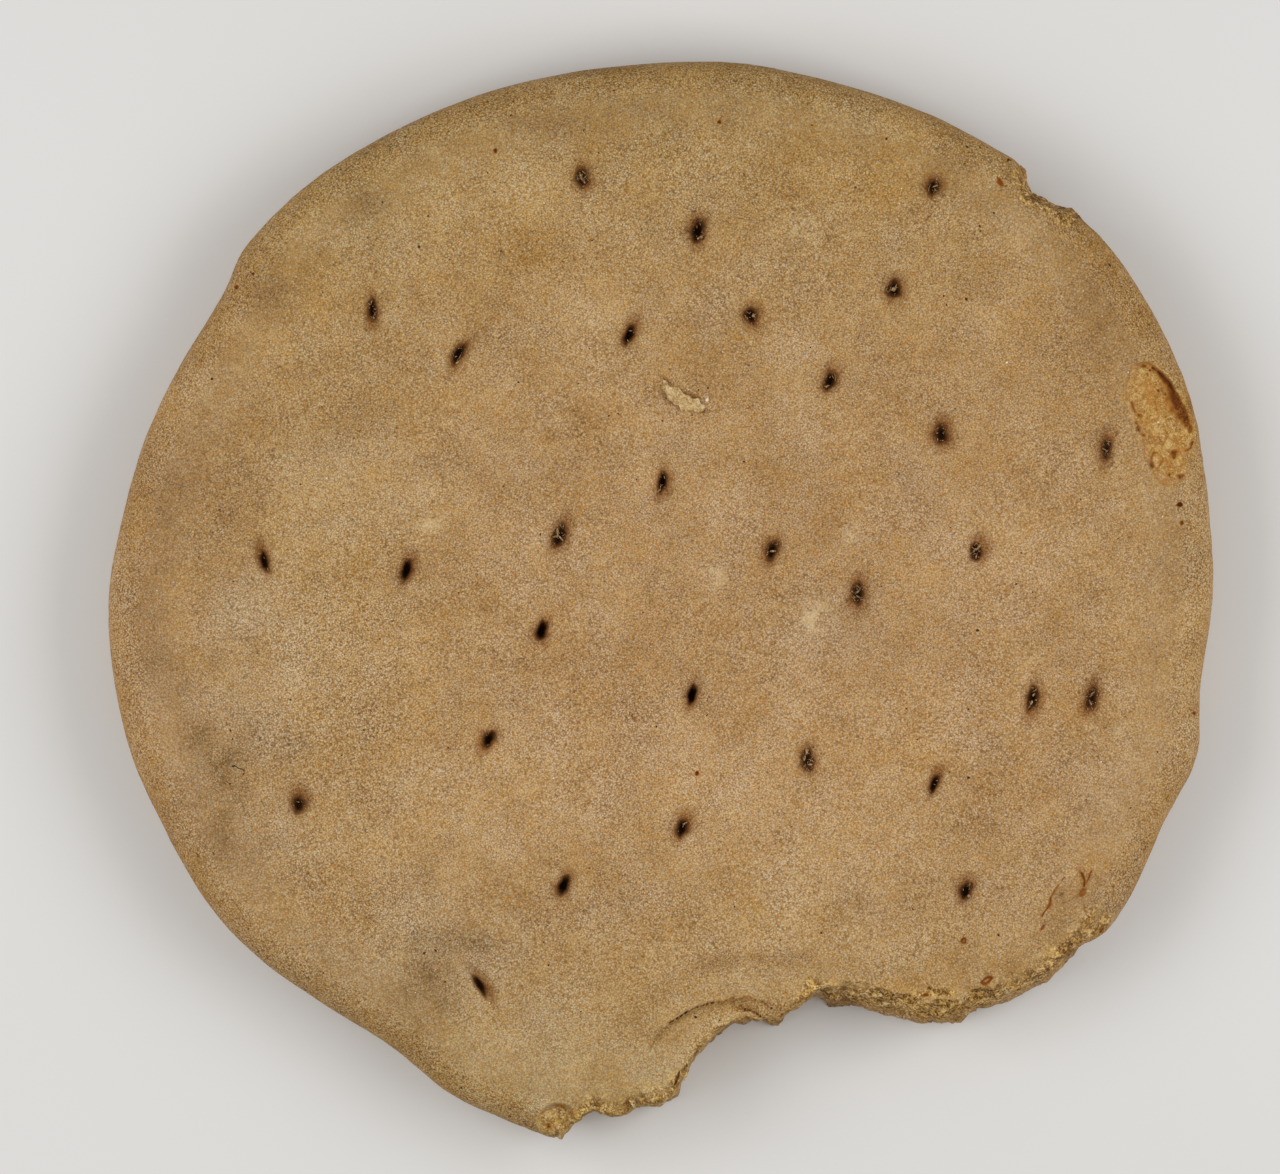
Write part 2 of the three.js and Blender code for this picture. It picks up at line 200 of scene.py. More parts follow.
# Cracks beside the bite and at the lower right: each a line of places, its half width and depth, how strongly
# it is scorched (on a dry crack: how dark its painted shade is), and how strongly it is rusty.
BITE_CRACK = [
    (-0.76, -40.3), (-0.4, -39.4), (0.33, -38.4), (0.82, -38.1), (1.55, -37.7), (2.4, -37.1), (3.36, -36.7),
    (4.1, -36.46), (4.8, -36.27), (5.54, -36.27), (6.6, -35.8), (7.84, -35.8), (8.94, -36.1), (10.0, -36.75),
]
CRACKS = [
    (BITE_CRACK[:4], 0.12, 0.08, 0.2, 0.0),
    (BITE_CRACK[3:6], 0.08, 0.18, 1.0, 0.0),
    (BITE_CRACK[5:7], 0.07, 0.1, 0.5, 0.0),
    (BITE_CRACK[6:10], 0.07, 0.12, 0.7, 0.0),
    (BITE_CRACK[9:], 0.07, 0.06, 0.4, 0.3),
    ([(6.6, -36.2), (7.0, -36.65), (7.6, -36.9)], 0.2, 0.16, 0.4, 0.2),
    ([(7.6, -36.9), (8.2, -37.0), (8.6, -37.2), (9.05, -37.6)], 0.1, 0.2, 0.8, 0.2),
    ([(1.67, -42.7), (1.5, -43.2), (1.3, -43.7)], 0.13, 0.4, 0.55, 0.2),
    ([(2.45, -41.8), (2.2, -42.2), (2.0, -42.5)], 0.1, 0.3, 0.45, 0.2),
    ([(36.43, -24.98), (35.98, -25.58), (35.5, -26.28), (35.27, -26.75)], 0.07, 0.12, 0.2, 0.85),
    ([(35.2, -26.8), (35.17, -27.4), (34.8, -27.9), (34.4, -28.5)], 0.1, 0.16, 0.2, 1.0),
    ([(34.67, -29.05), (34.55, -29.45), (34.27, -29.85)], 0.09, 0.14, 0.25, 1.0),
    ([(37.69, -24.22), (38.04, -24.67), (38.29, -25.28), (38.24, -25.85)], 0.11, 0.16, 0.4, 1.0),
    ([(38.89, -24.37), (38.65, -25.08), (38.44, -25.48)], 0.06, 0.1, 0.35, 0.9),
    ([(37.53, -26.68), (36.74, -27.29), (35.83, -27.29)], 0.08, 0.05, 0.0, 0.45),
    ([(38.24, -27.49), (38.34, -28.09), (38.54, -28.49)], 0.07, 0.08, 0.0, 0.65),
    ([(39.95, -29.5), (39.7, -30.0)], 0.1, 0.2, 0.35, 0.5),
]

# A crack no rustier than this is only darkened, with painted shade in the crack, by this share of its scorch.
DRY_CRACK = 0.3
CRACK_SHADE = 0.6

# A rusty pocket among the cracks, how far the crust by the bite has sunk, the crease outside it, and a flap.
CRACK_POCKET = (38.1, -26.36, 0.26, 0.42, 35)
BITE_SINK = 0.38
OUTER_CREASE = [
    (-1.85, -37.1), (0.4, -35.0), (2.76, -33.7), (6.2, -32.4), (9.7, -32.0), (12.8, -32.3), (15.5, -33.1),
]
FLAP_RIDGE = [(35.3, -26.6), (35.8, -25.9), (36.3, -25.1), (37.0, -24.7), (37.7, -24.3)]
FLAP_LIFT = 0.18

# Small pits burnt red brown: x, y, half width, half length, lean of the top to the right, and how charred.
RUST_PITS = [
    (30.66, 37.8, 0.20, 0.42, -25, 0.1), (-14.9, 40.6, 0.16, 0.2, 0, 0.35), (-38.3, 28.3, 0.16, 0.2, 0, 0.35),
    (5.3, 43.2, 0.16, 0.16, 0, 0.3), (3.3, -15.6, 0.16, 0.2, 0, 0.25), (27.37, -30.7, 0.24, 0.27, 0, 0.46),
    (29.45, -34.3, 0.26, 0.55, 55, 0.46), (23.9, -35.6, 0.3, 0.14, 0, 0.2),
    (46.9, 8.66, 0.27, 0.22, 0, 1.0), (47.07, 7.05, 0.12, 0.18, 0, 0.3),
    (48.2, -10.2, 0.15, 0.17, 0, 0.3), (31.4, 39.8, 0.09, 0.15, 30, 0.5),
]
PIT_DEPTH = 0.26

# Places paler or darker from baking, some with painted shade: x, y, half width, half length and change of
# tone.
BAKE_AND_SHADE_PATCHES = [
    (-28.8, 9.4, 6.5, 4.5, 0.05), (-34.8, -8.2, 5.5, 2.8, 0.05), (-34.6, -0.6, 5.5, 3.0, 0.035),
    (-10.0, -16.9, 7.0, 6.0, 0.025), (9.7, -18.6, 12.0, 8.5, 0.025), (17.8, -24.1, 4.0, 3.0, 0.03),
    (-12.0, -42.0, 10.0, 5.0, 0.04), (0.0, 42.0, 38.0, 9.0, -0.02), (-11.4, 43.2, 3.2, 1.2, -0.08),
    (-27.0, 35.8, 2.4, 2.0, -0.09), (-34.8, 28.4, 2.6, 2.8, -0.08), (-11.1, 31.4, 2.8, 2.4, -0.08),
    (5.9, 43.6, 1.0, 1.4, -0.08), (15.6, 41.0, 3.2, 2.0, -0.06), (25.9, 39.3, 2.6, 1.6, -0.06),
    (12.0, 31.7, 1.0, 5.0, -0.045), (38.2, 27.0, 3.0, 5.0, -0.05), (28.4, 28.8, 2.2, 2.2, -0.07),
    (-7.0, 16.7, 1.2, 1.6, -0.06), (3.0, 20.5, 7.5, 5.0, -0.06), (23.0, -1.8, 0.7, 2.0, -0.06),
    (-11.0, -5.9, 2.6, 0.7, -0.05), (46.4, 4.6, 1.7, 6.5, -0.06), (33.0, 8.5, 6.0, 2.4, -0.04),
    (5.5, -32.8, 7.0, 1.2, -0.03), (9.0, -30.9, 9.0, 0.9, 0.025), (-20.5, -23.5, 4.0, 3.0, -0.05),
    (-46.2, 4.0, 3.4, 10.0, -0.02), (-38.8, 8.0, 4.5, 13.0, -0.07), (-40.0, -27.0, 4.0, 5.0, 0.04),
    (-12.0, 4.5, 6.0, 4.5, 0.05), (18.5, 9.0, 4.0, 7.0, 0.04), (0.0, 38.0, 6.0, 3.5, 0.04),
    (36.1, -26.4, 0.35, 0.5, -0.16), (37.3, -31.8, 1.2, 0.7, -0.1), (40.0, -27.0, 3.0, 4.5, -0.05),
    (7.4, -36.3, 0.8, 0.5, -0.06), (10.4, -36.9, 1.6, 1.2, -0.1), (14.2, -35.4, 0.35, 0.3, 0.16),
    (16.8, -36.6, 1.8, 0.8, -0.17), (25.0, -36.6, 3.0, 0.8, 0.05), (28.5, -35.3, 0.6, 0.35, -0.18),
    (33.0, -33.6, 2.8, 1.4, -0.08), (36.5, -31.0, 2.2, 1.4, -0.06), (-2.3, -44.9, 1.6, 0.6, -0.18),
    (-6.9, -46.2, 0.7, 0.4, -0.16), (-3.9, -46.1, 0.9, 0.5, 0.07), (-5.7, -45.1, 0.22, 0.28, -0.26),
    (34.0, 36.4, 1.6, 1.0, -0.12), (36.8, 34.6, 1.4, 1.0, -0.16), (31.8, 38.6, 1.0, 1.4, -0.05),
    (47.9, 17.9, 0.5, 1.6, -0.12), (47.7, -6.5, 1.5, 4.0, 0.03), (-10.4, -45.5, 1.2, 0.6, 0.06),
]

# Places where dry flour is baked on in flakes: x, y, half width, half length and strength.
FLOURY_PATCHES = [
    (-20.9, 7.0, 1.3, 0.7, 0.8), (4.9, 2.2, 1.2, 1.0, 0.7), (17.1, 5.8, 0.8, 0.8, 1.0),
    (13.9, -1.4, 1.5, 1.6, 0.9), (12.2, 33.7, 1.2, 0.9, 0.8), (41.6, -11.6, 0.9, 0.45, 0.9),
    (31.3, 6.3, 0.6, 0.6, 0.5), (-23.0, -17.0, 1.0, 0.7, 0.4),
]

# Places where the crust is warmer or, below nought, greyer: x, y, half width, half length and the change,
# of which this share is used.
TINT_SHARE = 0.7
TINT_PATCHES = [
    (-9.0, -43.0, 6.0, 3.5, -0.3), (47.6, 17.5, 0.8, 3.0, 0.6), (-40.0, -8.0, 7.0, 18.0, -0.16),
    (-30.0, -36.0, 8.0, 5.0, -0.2), (-34.8, 33.7, 4.0, 4.0, -0.18), (38.5, -27.0, 5.0, 5.0, -0.2),
    (32.7, 36.8, 4.0, 3.0, -0.15), (1.0, -40.0, 5.0, 4.0, -0.15), (-37.4, 0.0, 3.0, 3.0, -0.4),
    (-37.5, -12.0, 3.6, 4.5, -0.4), (-35.4, -22.0, 3.0, 3.0, -0.35), (-19.0, -31.2, 8.0, 5.5, -0.45),
    (-11.0, -38.2, 3.0, 2.4, -0.4), (-30.0, 13.2, 2.6, 2.2, -0.3), (-12.0, 12.0, 8.0, 1.8, -0.25),
    (-23.4, 33.4, 3.2, 2.6, -0.25), (16.6, -3.0, 5.0, 3.4, -0.3), (23.0, 10.4, 2.2, 2.6, -0.3),
    (38.0, -17.5, 2.4, 4.2, -0.25), (19.0, -27.8, 2.8, 2.6, -0.3), (4.5, 25.4, 2.0, 2.6, -0.25),
    (20.0, 39.2, 6.5, 3.6, 0.35), (-11.0, 31.6, 2.8, 3.2, 0.3), (-34.0, 30.0, 6.0, 5.0, 0.2),
    (23.0, -13.4, 3.4, 2.0, 0.3), (-15.4, -13.4, 1.4, 1.4, 0.4), (38.3, -25.0, 1.6, 1.4, 0.5),
    (22.0, -35.2, 4.0, 1.2, 0.5), (46.5, -2.0, 1.2, 8.0, 0.2), (36.0, -8.8, 5.0, 2.2, 0.2),
    (39.8, -23.8, 1.0, 0.6, 0.7), (28.5, -35.3, 0.6, 0.4, 0.5), (-6.9, -46.2, 0.7, 0.4, -0.5),
    (-3.9, -46.0, 1.2, 0.6, 0.5), (14.2, -35.4, 0.5, 0.4, -0.6), (-2.3, -44.9, 1.3, 0.55, -0.6),
    (-0.5, -45.0, 0.3, 0.2, 1.4), (0.3, -44.75, 0.3, 0.2, 1.4), (43.1, 26.5, 3.0, 3.0, 0.33),
    (3.8, -18.5, 4.0, 4.0, 0.18),
]

# Places where the crust turns from pinkish to straw yellow: x, y, half width, half length and the change.
STRAW_PATCHES = [
    (0.0, 55.0, 90.0, 28.0, 0.93), (0.0, -55.0, 90.0, 24.0, 1.03), (-32.0, 4.0, 14.0, 34.0, 0.4),
    (52.0, 5.0, 12.0, 40.0, 0.37), (10.0, -4.0, 16.0, 16.0, -0.1), (-28.0, 37.0, 10.0, 7.0, 0.17),
]

# How sandy the crust is, how much sandier and warmer it is along the edge, and how much painted shade darkens
# it there.
SANDINESS = 0.68
EDGE_SAND = 0.36
PAINTED_EDGE_SHADE = 0.045
EDGE_WARMTH = 0.16

# Places where the crust is sandier or, below nought, smoother: x, y, half width, half length and the change.
SANDY_PATCHES = [
    (-3.6, -11.6, 9.0, 9.0, 0.08), (-28.0, -6.0, 9.0, 11.0, 0.2), (-28.0, -28.0, 6.0, 6.0, 0.15),
    (40.0, 2.0, 10.0, 14.0, -0.02), (-4.0, -41.0, 8.0, 4.0, -0.1), (0.0, 38.0, 30.0, 8.0, 0.06),
]

# Dirt worked into the crust: x, y, half width, half length and strength.
DIRT_PATCHES = [
    (-43.8, 10.7, 1.0, 1.2, 0.4), (-45.0, 8.3, 1.0, 2.0, 0.32), (-46.2, 13.0, 0.9, 1.4, 0.3),
    (-44.6, 2.8, 1.0, 1.2, 0.3), (-46.6, 1.5, 0.9, 1.6, 0.3), (-45.9, -1.7, 1.3, 1.0, 0.45),
    (-45.4, -5.2, 1.6, 1.4, 0.55), (-43.1, -8.0, 1.0, 1.6, 0.7), (-40.2, -5.2, 0.8, 1.0, 0.55),
    (-38.8, -3.3, 0.4, 0.35, 0.5), (-41.7, -11.7, 1.6, 1.1, 0.95), (-42.3, -12.9, 0.9, 0.6, 0.6),
    (-39.8, -14.2, 1.7, 1.2, 1.0), (-38.2, -14.0, 0.9, 0.5, 0.6), (-39.9, -16.2, 1.4, 1.2, 0.85),
    (-37.9, -17.3, 0.6, 0.5, 0.85), (-41.6, -18.3, 0.9, 0.9, 0.6), (-39.5, -19.2, 1.4, 1.3, 0.75),
    (-39.7, -22.0, 1.5, 2.2, 0.7), (-36.3, -22.5, 0.4, 0.4, 0.7), (-32.8, -13.0, 0.9, 1.0, 0.8),
    (-34.1, -14.0, 0.5, 0.4, 0.6), (-19.0, -30.6, 1.8, 0.9, 0.8), (-16.4, -31.0, 1.6, 0.8, 0.85),
    (-22.0, -30.4, 0.9, 0.8, 0.6), (-20.8, -33.6, 2.0, 1.4, 0.8), (-19.6, -36.2, 1.6, 1.0, 0.75),
    (-22.6, -35.4, 1.4, 1.2, 0.6), (-21.2, -25.0, 0.8, 1.2, 0.6), (-22.0, -38.4, 0.8, 1.4, 0.4),
]

# A scrap of dough stuck to the face: the places along its middle, and its half width at each.
FLAKE_LINE = [(0.22, 19.95), (0.55, 19.15), (1.25, 18.45), (2.3, 17.95), (3.3, 17.6), (4.05, 17.4)]
FLAKE_HALF_WIDTHS = (0.1, 0.5, 0.6, 0.72, 0.62, 0.34)
FLAKE_HEIGHT = 0.42
FLAKE_PLACE = (2.1, 18.4, 2.9)
FLAKE_SLIVER = (1.46, 16.95, 0.22, 0.05, 55)

# Specks on the crust: x, y and radius of the white grains, x and y of the larger specks of bran, and the
# places along a caught fibre.
FLOUR_SPECKS = [(4.2, 18.12, 0.22), (31.25, 21.5, 0.16), (42.2, 20.6, 0.1), (44.95, 16.1, 0.12)]
BRAN_SPECKS = [
    (-36.8, 29.5), (-40.5, 20.0), (-21.8, 31.9), (-13.5, 43.8), (20.4, 41.7), (27.7, 41.0), (28.9, 40.9),
    (31.6, 39.8), (17.6, 37.3), (28.8, 33.8), (27.6, 27.2), (40.6, 30.3), (27.8, -16.0), (32.1, 1.5),
    (28.6, -2.7), (-21.3, -31.8), (-20.3, -31.6), (-32.1, -35.2), (-13.6, -46.6), (-10.1, -32.9),
    (-18.0, -44.0), (14.5, -30.0), (30.5, -30.2), (10.0, -36.8), (3.17, -37.6),
]
FIBRE = [
    (-38.7, -15.0), (-38.44, -14.92), (-38.03, -15.16), (-37.66, -15.26), (-37.56, -15.47),
    (-37.7, -15.78),
]

# How many strands of crumb a full hole has, how many crumbs cling to the broken faces, and how many flecks of
# bran and grains of flour lie on the face.
HOLE_STRANDS = 28
BREAK_CRUMBS = 800
LOOSE_BRAN = 150
LOOSE_FLOUR = 150

# Crumbs cling where this much crumb shows, above this height. Flecks lie within this reach, where the crust
# is this level.
CLINGING_CRUMB = 0.55
CLINGING_HEIGHT = 2.0
FLECK_REACH = 48
LEVEL_CRUST = 0.85

# The photograph's view: straight down, this wide at the height of the waist.
VIEW_MIDDLE = (-1.854, 1.221)
VIEW_WIDTH = 115.76
WAIST_HEIGHT = 6.8
CAMERA_HEIGHT = 2000.0
SENSOR_WIDTH = 36.0

# The soft boxes at both sides, in metres, degrees and watts, the light all round, and the floor.
BOX_SIZE = (0.34, 0.26)
BOX_DISTANCE = 0.42
LIGHT_LIFT = 48
LIGHT_POWER = 0.8
ROUND_LIGHT = 0.375
FLOOR_SIZE = 2.4


# Hand tools

def smooth(low, high, value):
    """0 at low, 1 at high, and an even rise between them. Low may be the greater."""
    share = np.clip((value - low) / (high - low), 0.0, 1.0)
    return share * share * (3.0 - 2.0 * share)


def pick(piece):
    """Makes a piece the only selected object."""
    bpy.ops.object.select_all(action="DESELECT")
    piece.select_set(True)
    bpy.context.view_layer.objects.active = piece


def read_vectors(rows, field):
    values = np.empty(len(rows) * 3, np.float32)
    rows.foreach_get(field, values)
    return values.reshape(-1, 3).astype(float)


def corners_of(mesh):
    return read_vectors(mesh.vertices, "co")


def set_corners(mesh, places):
    mesh.vertices.foreach_set("co", places.astype(np.float32).ravel())
    mesh.update()


def from_line(places, line):
    """Distance of each place from a line of points, its share along the line, and its side, left positive."""
    line = np.asarray(line, float)
    nearest = np.full(len(places), np.inf)
    share = np.zeros(len(places))
    side = np.zeros(len(places))
    for number, (start, end) in enumerate(zip(line[:-1], line[1:])):
        along = end - start
        offset = places[:, :2] - start
        step = np.clip(offset @ along / (along @ along), 0.0, 1.0)
        away = offset - step[:, None] * along
        distance = np.hypot(away[:, 0], away[:, 1])
        closer = distance < nearest
        nearest = np.where(closer, distance, nearest)
        share = np.where(closer, (number + step) / (len(line) - 1), share)
        side = np.where(closer, np.sign(along[0] * offset[:, 1] - along[1] * offset[:, 0]), side)
    return nearest, share, side


def fade_ends(share, part):
    """1 along a line, fading out over this part of it at both ends."""
    return smooth(0.0, part, share) * smooth(1.0, 1.0 - part, share)


def inside_depth(places, rim):
    """Distance inwards from a closed rim, negative outside it."""
    closed = list(rim) + [rim[0]]
    distance, _, _ = from_line(places, closed)
    inside = np.zeros(len(places), bool)
    for (ax, ay), (bx, by) in zip(closed[:-1], closed[1:]):
        if ay == by:
            continue
        crosses = (ay > places[:, 1]) != (by > places[:, 1])
        inside ^= crosses & (places[:, 0] < ax + (places[:, 1] - ay) * (bx - ax) / (by - ay))
    return np.where(inside, distance, -distance)


def oval_reach(places, x, y, half_width, half_length, lean=0.0):
    """How far each place is from the middle of an oval, as shares of the oval. Also the bearing there."""
    angle = math.radians(lean)
    dx, dy = places[:, 0] - x, places[:, 1] - y
    across = (dx * math.cos(angle) - dy * math.sin(angle)) / half_width
    along = (dx * math.sin(angle) + dy * math.cos(angle)) / half_length
    return np.hypot(across, along), np.arctan2(along, across)


def waver(places, length, seed=0.0):
    """Evenly varying value between about -1 and 1 at each place, with features of this length."""
    drift = Vector((seed, 1.7 * seed, 0.3 * seed))
    return np.array([noise.noise(Vector(place) / length + drift) for place in places])


def knobs(places, length, seed=0.0):
    """Lumps of this size: how near each place is to its lump's middle, and its gap to the next lump."""
    drift = Vector((seed, 1.7 * seed, 0.3 * seed))
    nearest = [noise.voronoi(Vector(place) / length + drift)[0][:2] for place in places]
    spans = np.array(nearest).reshape(-1, 2)
    return smooth(0.85, 0.1, spans[:, 0]), spans[:, 1] - spans[:, 0]


def select_only(piece, kind, chosen):
    """In edit mode, selects the chosen faces, FACE, or corners, VERT."""
    bpy.ops.mesh.select_mode(type=kind)
    bpy.ops.mesh.select_all(action="DESELECT")
    form = bmesh.from_edit_mesh(piece.data)
    parts = form.faces if kind == "FACE" else form.verts
    parts.ensure_lookup_table()
    for number in np.flatnonzero(chosen):
        parts[number].select_set(True)
    if kind == "VERT":
        form.select_flush(True)
    bmesh.update_edit_mesh(piece.data)


def add_object(name, data):
    made = bpy.data.objects.new(name, data)
    bpy.context.scene.collection.objects.link(made)
    return made


def weigh(piece, name, weights):
    """Gives a piece a vertex group with these weights."""
    group = piece.vertex_groups.new(name=name)
    levels = np.round(np.clip(weights, 0, 1) * 20) / 20
    for level in np.unique(levels):
        if level > 0:
            group.add(np.flatnonzero(levels == level).tolist(), float(level), "REPLACE")


def roughen(piece, group, length, height):
    """Raises and lowers a group of corners along their normals by clouds of this length and full height."""
    pattern = bpy.data.textures.new("roughness of " + piece.name, "CLOUDS")
    pattern.noise_scale = length
    pattern.noise_depth = 1
    pick(piece)
    lift = piece.modifiers.new("roughen", "DISPLACE")
    lift.texture = pattern
    lift.texture_coords = "LOCAL"
    lift.direction = "NORMAL"
    lift.strength = height
    lift.mid_level = 0.5
    lift.vertex_group = group
    bpy.ops.object.modifier_apply(modifier=lift.name)
    bpy.data.textures.remove(pattern)


def mark(piece, name, values):
    """Keeps a value for each corner of a piece, for its finish to read."""
    kept = piece.data.attributes.new(name, "FLOAT", "POINT")
    kept.data.foreach_set("value", np.asarray(values, np.float32))


def hand_over(piece, finish, stands_for=()):
    """Brings a finished piece to metres and puts it on the biscuit's body."""
    pick(piece)
    piece.scale = (MM, MM, MM)
    bpy.ops.object.transform_apply(location=True, rotation=True, scale=True)
    bpy.ops.object.shade_smooth()
    piece.data.materials.clear()
    piece.data.materials.append(finish)
    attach(piece, BODY)
    if stands_for:
        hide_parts(*stands_for)


# The mould: the solid with its holes, flake and blister covered, so that the sheet can be laid over it

def solid_faces():
    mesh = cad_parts["biscuit"].data
    corners = [tuple(corner) for corner in corners_of(mesh) / MM]
    faces = [tuple(face.vertices) for face in mesh.polygons]
    return corners, faces


def drop_onto(tree, x, y):
    """Where a ray from above meets a surface, and the surface's normal there."""
    hit, normal, _, _ = tree.ray_cast(Vector((x, y, RAY_START)), Vector((0, 0, -1)))
    return hit, normal


def bowl_terms(x, y):
    return np.column_stack([np.ones_like(x), x, y, x * x, x * y, y * y])


def hole_lid(tree, x, y, reach):
    """A disc of sound crust over a hole, curved as the crust round it."""
    around = np.linspace(0, TURN, LID_STEPS, endpoint=False)
    samples = []
    for spare in LID_FEELERS:
        ring = reach + spare
        for bearing in around:
            hit, _ = drop_onto(tree, x + ring * math.cos(bearing), y + ring * math.sin(bearing))
            if hit:
                samples.append(hit)
    samples = np.array(samples)
    terms = bowl_terms(samples[:, 0] - x, samples[:, 1] - y)
    bowl = np.linalg.lstsq(terms, samples[:, 2], rcond=None)[0]
    rings = [(0.0, 0.0)]
    for share in LID_RINGS:
        rings += [(share * reach * math.cos(b), share * reach * math.sin(b)) for b in around]
    flat = np.array(rings)
    height = bowl_terms(flat[:, 0], flat[:, 1]) @ bowl
    corners = [(x + dx, y + dy, z) for (dx, dy), z in zip(rings, height)]
    count = len(around)
    faces = [(0, 1 + i, 1 + (i + 1) % count) for i in range(count)]
    for ring in range(len(LID_RINGS) - 1):
        inner = 1 + ring * count
        outer = inner + count
        for i in range(count):
            after = (i + 1) % count
            faces.append((inner + i, outer + i, outer + after, inner + after))
    return corners, faces


def edge_ray(tree, bearing, reach, lift):
    """Where a ray from outside, aimed at the core of the edge, meets the biscuit."""
    core_reach = reach - EDGE_REACH
    core = Vector((core_reach * math.cos(bearing), core_reach * math.sin(bearing), CORE_HEIGHT))
    out = Vector((math.cos(lift) * math.cos(bearing), math.cos(lift) * math.sin(bearing), math.sin(lift)))
    hit, normal, _, _ = tree.ray_cast(core + out * RAY_START, -out)
    return hit, normal


def blister_lid(tree, outline):
    """Sound crust over the blister, drawn across from the sections of the edge on both sides of it."""
    steps = 14
    ends = [math.radians(bearing) for bearing in BLISTER_BEARINGS]
    lifts = np.radians(np.linspace(90, 5, steps))
    sections = []
    for bearing in ends:
        reach = float(outline.reach_at(bearing))
        hits = [edge_ray(tree, bearing, reach, lift)[0] for lift in lifts]
        sections.append([(math.hypot(hit.x, hit.y) - reach, hit.z) for hit in hits])
    sections = np.array(sections)
    corners = []
    for share in np.linspace(0, 1, steps):
        bearing = ends[0] + share * (ends[1] - ends[0])
        reach = float(outline.soft_reach_at(bearing))
        for inset, height in sections[0] + share * (sections[1] - sections[0]):
            corners.append(((reach + inset) * math.cos(bearing), (reach + inset) * math.sin(bearing), height))
    faces = []
    for row in range(steps - 1):
        for column in range(steps - 1):
            first = row * steps + column
            faces.append((first, first + 1, first + steps + 1, first + steps))
    return corners, faces


class Outline:
    """The biscuit's outline seen from above: its reach at each bearing, and places spread evenly round it."""

    def __init__(self, tree):
        self.bearings = np.linspace(0, TURN, OUTLINE_STEPS, endpoint=False)
        reach = np.full(OUTLINE_STEPS, np.inf)
        for height in OUTLINE_HEIGHTS:
            for number, bearing in enumerate(self.bearings):
                out = Vector((math.cos(bearing), math.sin(bearing), 0))
                hit = tree.ray_cast(out * RAY_START + Vector((0, 0, height)), -out)[0]
                reach[number] = min(reach[number], math.hypot(hit.x, hit.y))
        self.reach = reach
        self.soft_reach = self.softened(OUTLINE_SOFTNESS)
        x = reach * np.cos(self.bearings)
        y = reach * np.sin(self.bearings)
        steps = np.hypot(np.roll(x, -1) - x, np.roll(y, -1) - y)
        self.along = np.concatenate([[0], np.cumsum(steps)]) / steps.sum()

    def softened(self, width):
        window = np.hanning(width)
        wrapped = np.concatenate([self.reach[-width:], self.reach, self.reach[:width]])
        return np.convolve(wrapped, window / window.sum(), "same")[width:-width]

    def reach_at(self, bearing):
        return np.interp(np.mod(bearing, TURN), self.bearings, self.reach, period=TURN)

    def soft_reach_at(self, bearing):
        return np.interp(np.mod(bearing, TURN), self.bearings, self.soft_reach, period=TURN)

    def bearing_at(self, share):
        return np.interp(share, self.along, np.append(self.bearings, TURN))


def make_mould():
    corners, faces = solid_faces()
    bare = BVHTree.FromPolygons(corners, faces)
    outline = Outline(bare)
    flake_x, flake_y, flake_reach = FLAKE_PLACE
    lids = [hole_lid(bare, hole[0], hole[1], LID_REACH) for hole in DOCKER_HOLES]
    flake_cover = hole_lid(bare, flake_x, flake_y, flake_reach)
    lids += [flake_cover, blister_lid(bare, outline)]
    flake_top = max(height for _, _, height in flake_cover[0])
    on_flake = {
        number
        for number, (x, y, z) in enumerate(corners)
        if math.hypot(x - flake_x, y - flake_y) < flake_reach and z > flake_top
    }
    faces = [face for face in faces if not on_flake.intersection(face)]
    for lid_corners, lid_faces in lids:
        first = len(corners)
        corners += lid_corners
        faces += [tuple(first + corner for corner in face) for face in lid_faces]
    return BVHTree.FromPolygons(corners, faces), outline


# The sheet of dough

def spread_on_disc(flat):
    """The square sheet as a disc: each place's ring, 0 to 1, and its share of the way round."""
    u, v = flat[:, 0], flat[:, 1]
    wide = np.abs(u) > np.abs(v)
    main = np.where(wide, u, v)
    other = np.where(wide, v, u)
    ratio = np.divide(other, main, out=np.zeros_like(main), where=main != 0)
    turn = np.where(wide, math.pi / 4 * ratio, math.pi / 2 - math.pi / 4 * ratio)
    turn = np.mod(turn + np.where(main < 0, math.pi, 0), TURN)
    return np.abs(main), turn / TURN


def edge_lift(ring):
    """How steeply a ring of the sheet looks up: straight up on the face, straight down at the foot."""
    round_edge = np.clip((ring - FACE_SHARE) / (1 - FACE_SHARE), 0, 1)
    return math.pi / 2 * (1 - 2 * round_edge)


def sheet_places(flat, outline):
    """Ring, bearing and reach of each place of the flat sheet, and where it lies if it is on the face."""
    ring, round_share = spread_on_disc(flat)
    even = round_share * TURN
    bearing = even + (outline.bearing_at(round_share) - even) * smooth(0.2, 0.7, ring)
    own = smooth(0.45, FACE_SHARE, ring)
    reach = outline.soft_reach_at(bearing) * (1 - own) + outline.reach_at(bearing) * own
    distance = ring / FACE_SHARE * (reach - EDGE_REACH)
    return ring, bearing, reach, distance * np.cos(bearing), distance * np.sin(bearing)


def lay_places(flat, mould, outline):
    """Where each place of the flat sheet comes to lie on the mould, with the mould's normal there."""
    ring, bearing, reach, x, y = sheet_places(flat, outline)
    lift = edge_lift(ring)
    places = np.empty_like(flat)
    normals = np.empty_like(flat)
    for number in range(len(flat)):
        if ring[number] < FACE_SHARE:
            hit, normal = drop_onto(mould, x[number], y[number])
        else:
            hit, normal = edge_ray(mould, bearing[number], reach[number], lift[number])
        places[number] = hit
        normals[number] = normal
    return ring, bearing, places, normals


def within_bearings(bearing, limits):
    """True between two bearings given in degrees."""
    low, high = limits
    return np.mod(np.degrees(bearing) - low, 360) <= high - low


def split_cells(sheet, chosen):
    """Cuts each of the chosen cells into four."""
    pick(sheet)
    bpy.ops.object.mode_set(mode="EDIT")
    select_only(sheet, "FACE", chosen)
    bpy.ops.mesh.subdivide(number_cuts=1, ngon=False, quadcorner="INNERVERT")
    bpy.ops.object.mode_set(mode="OBJECT")


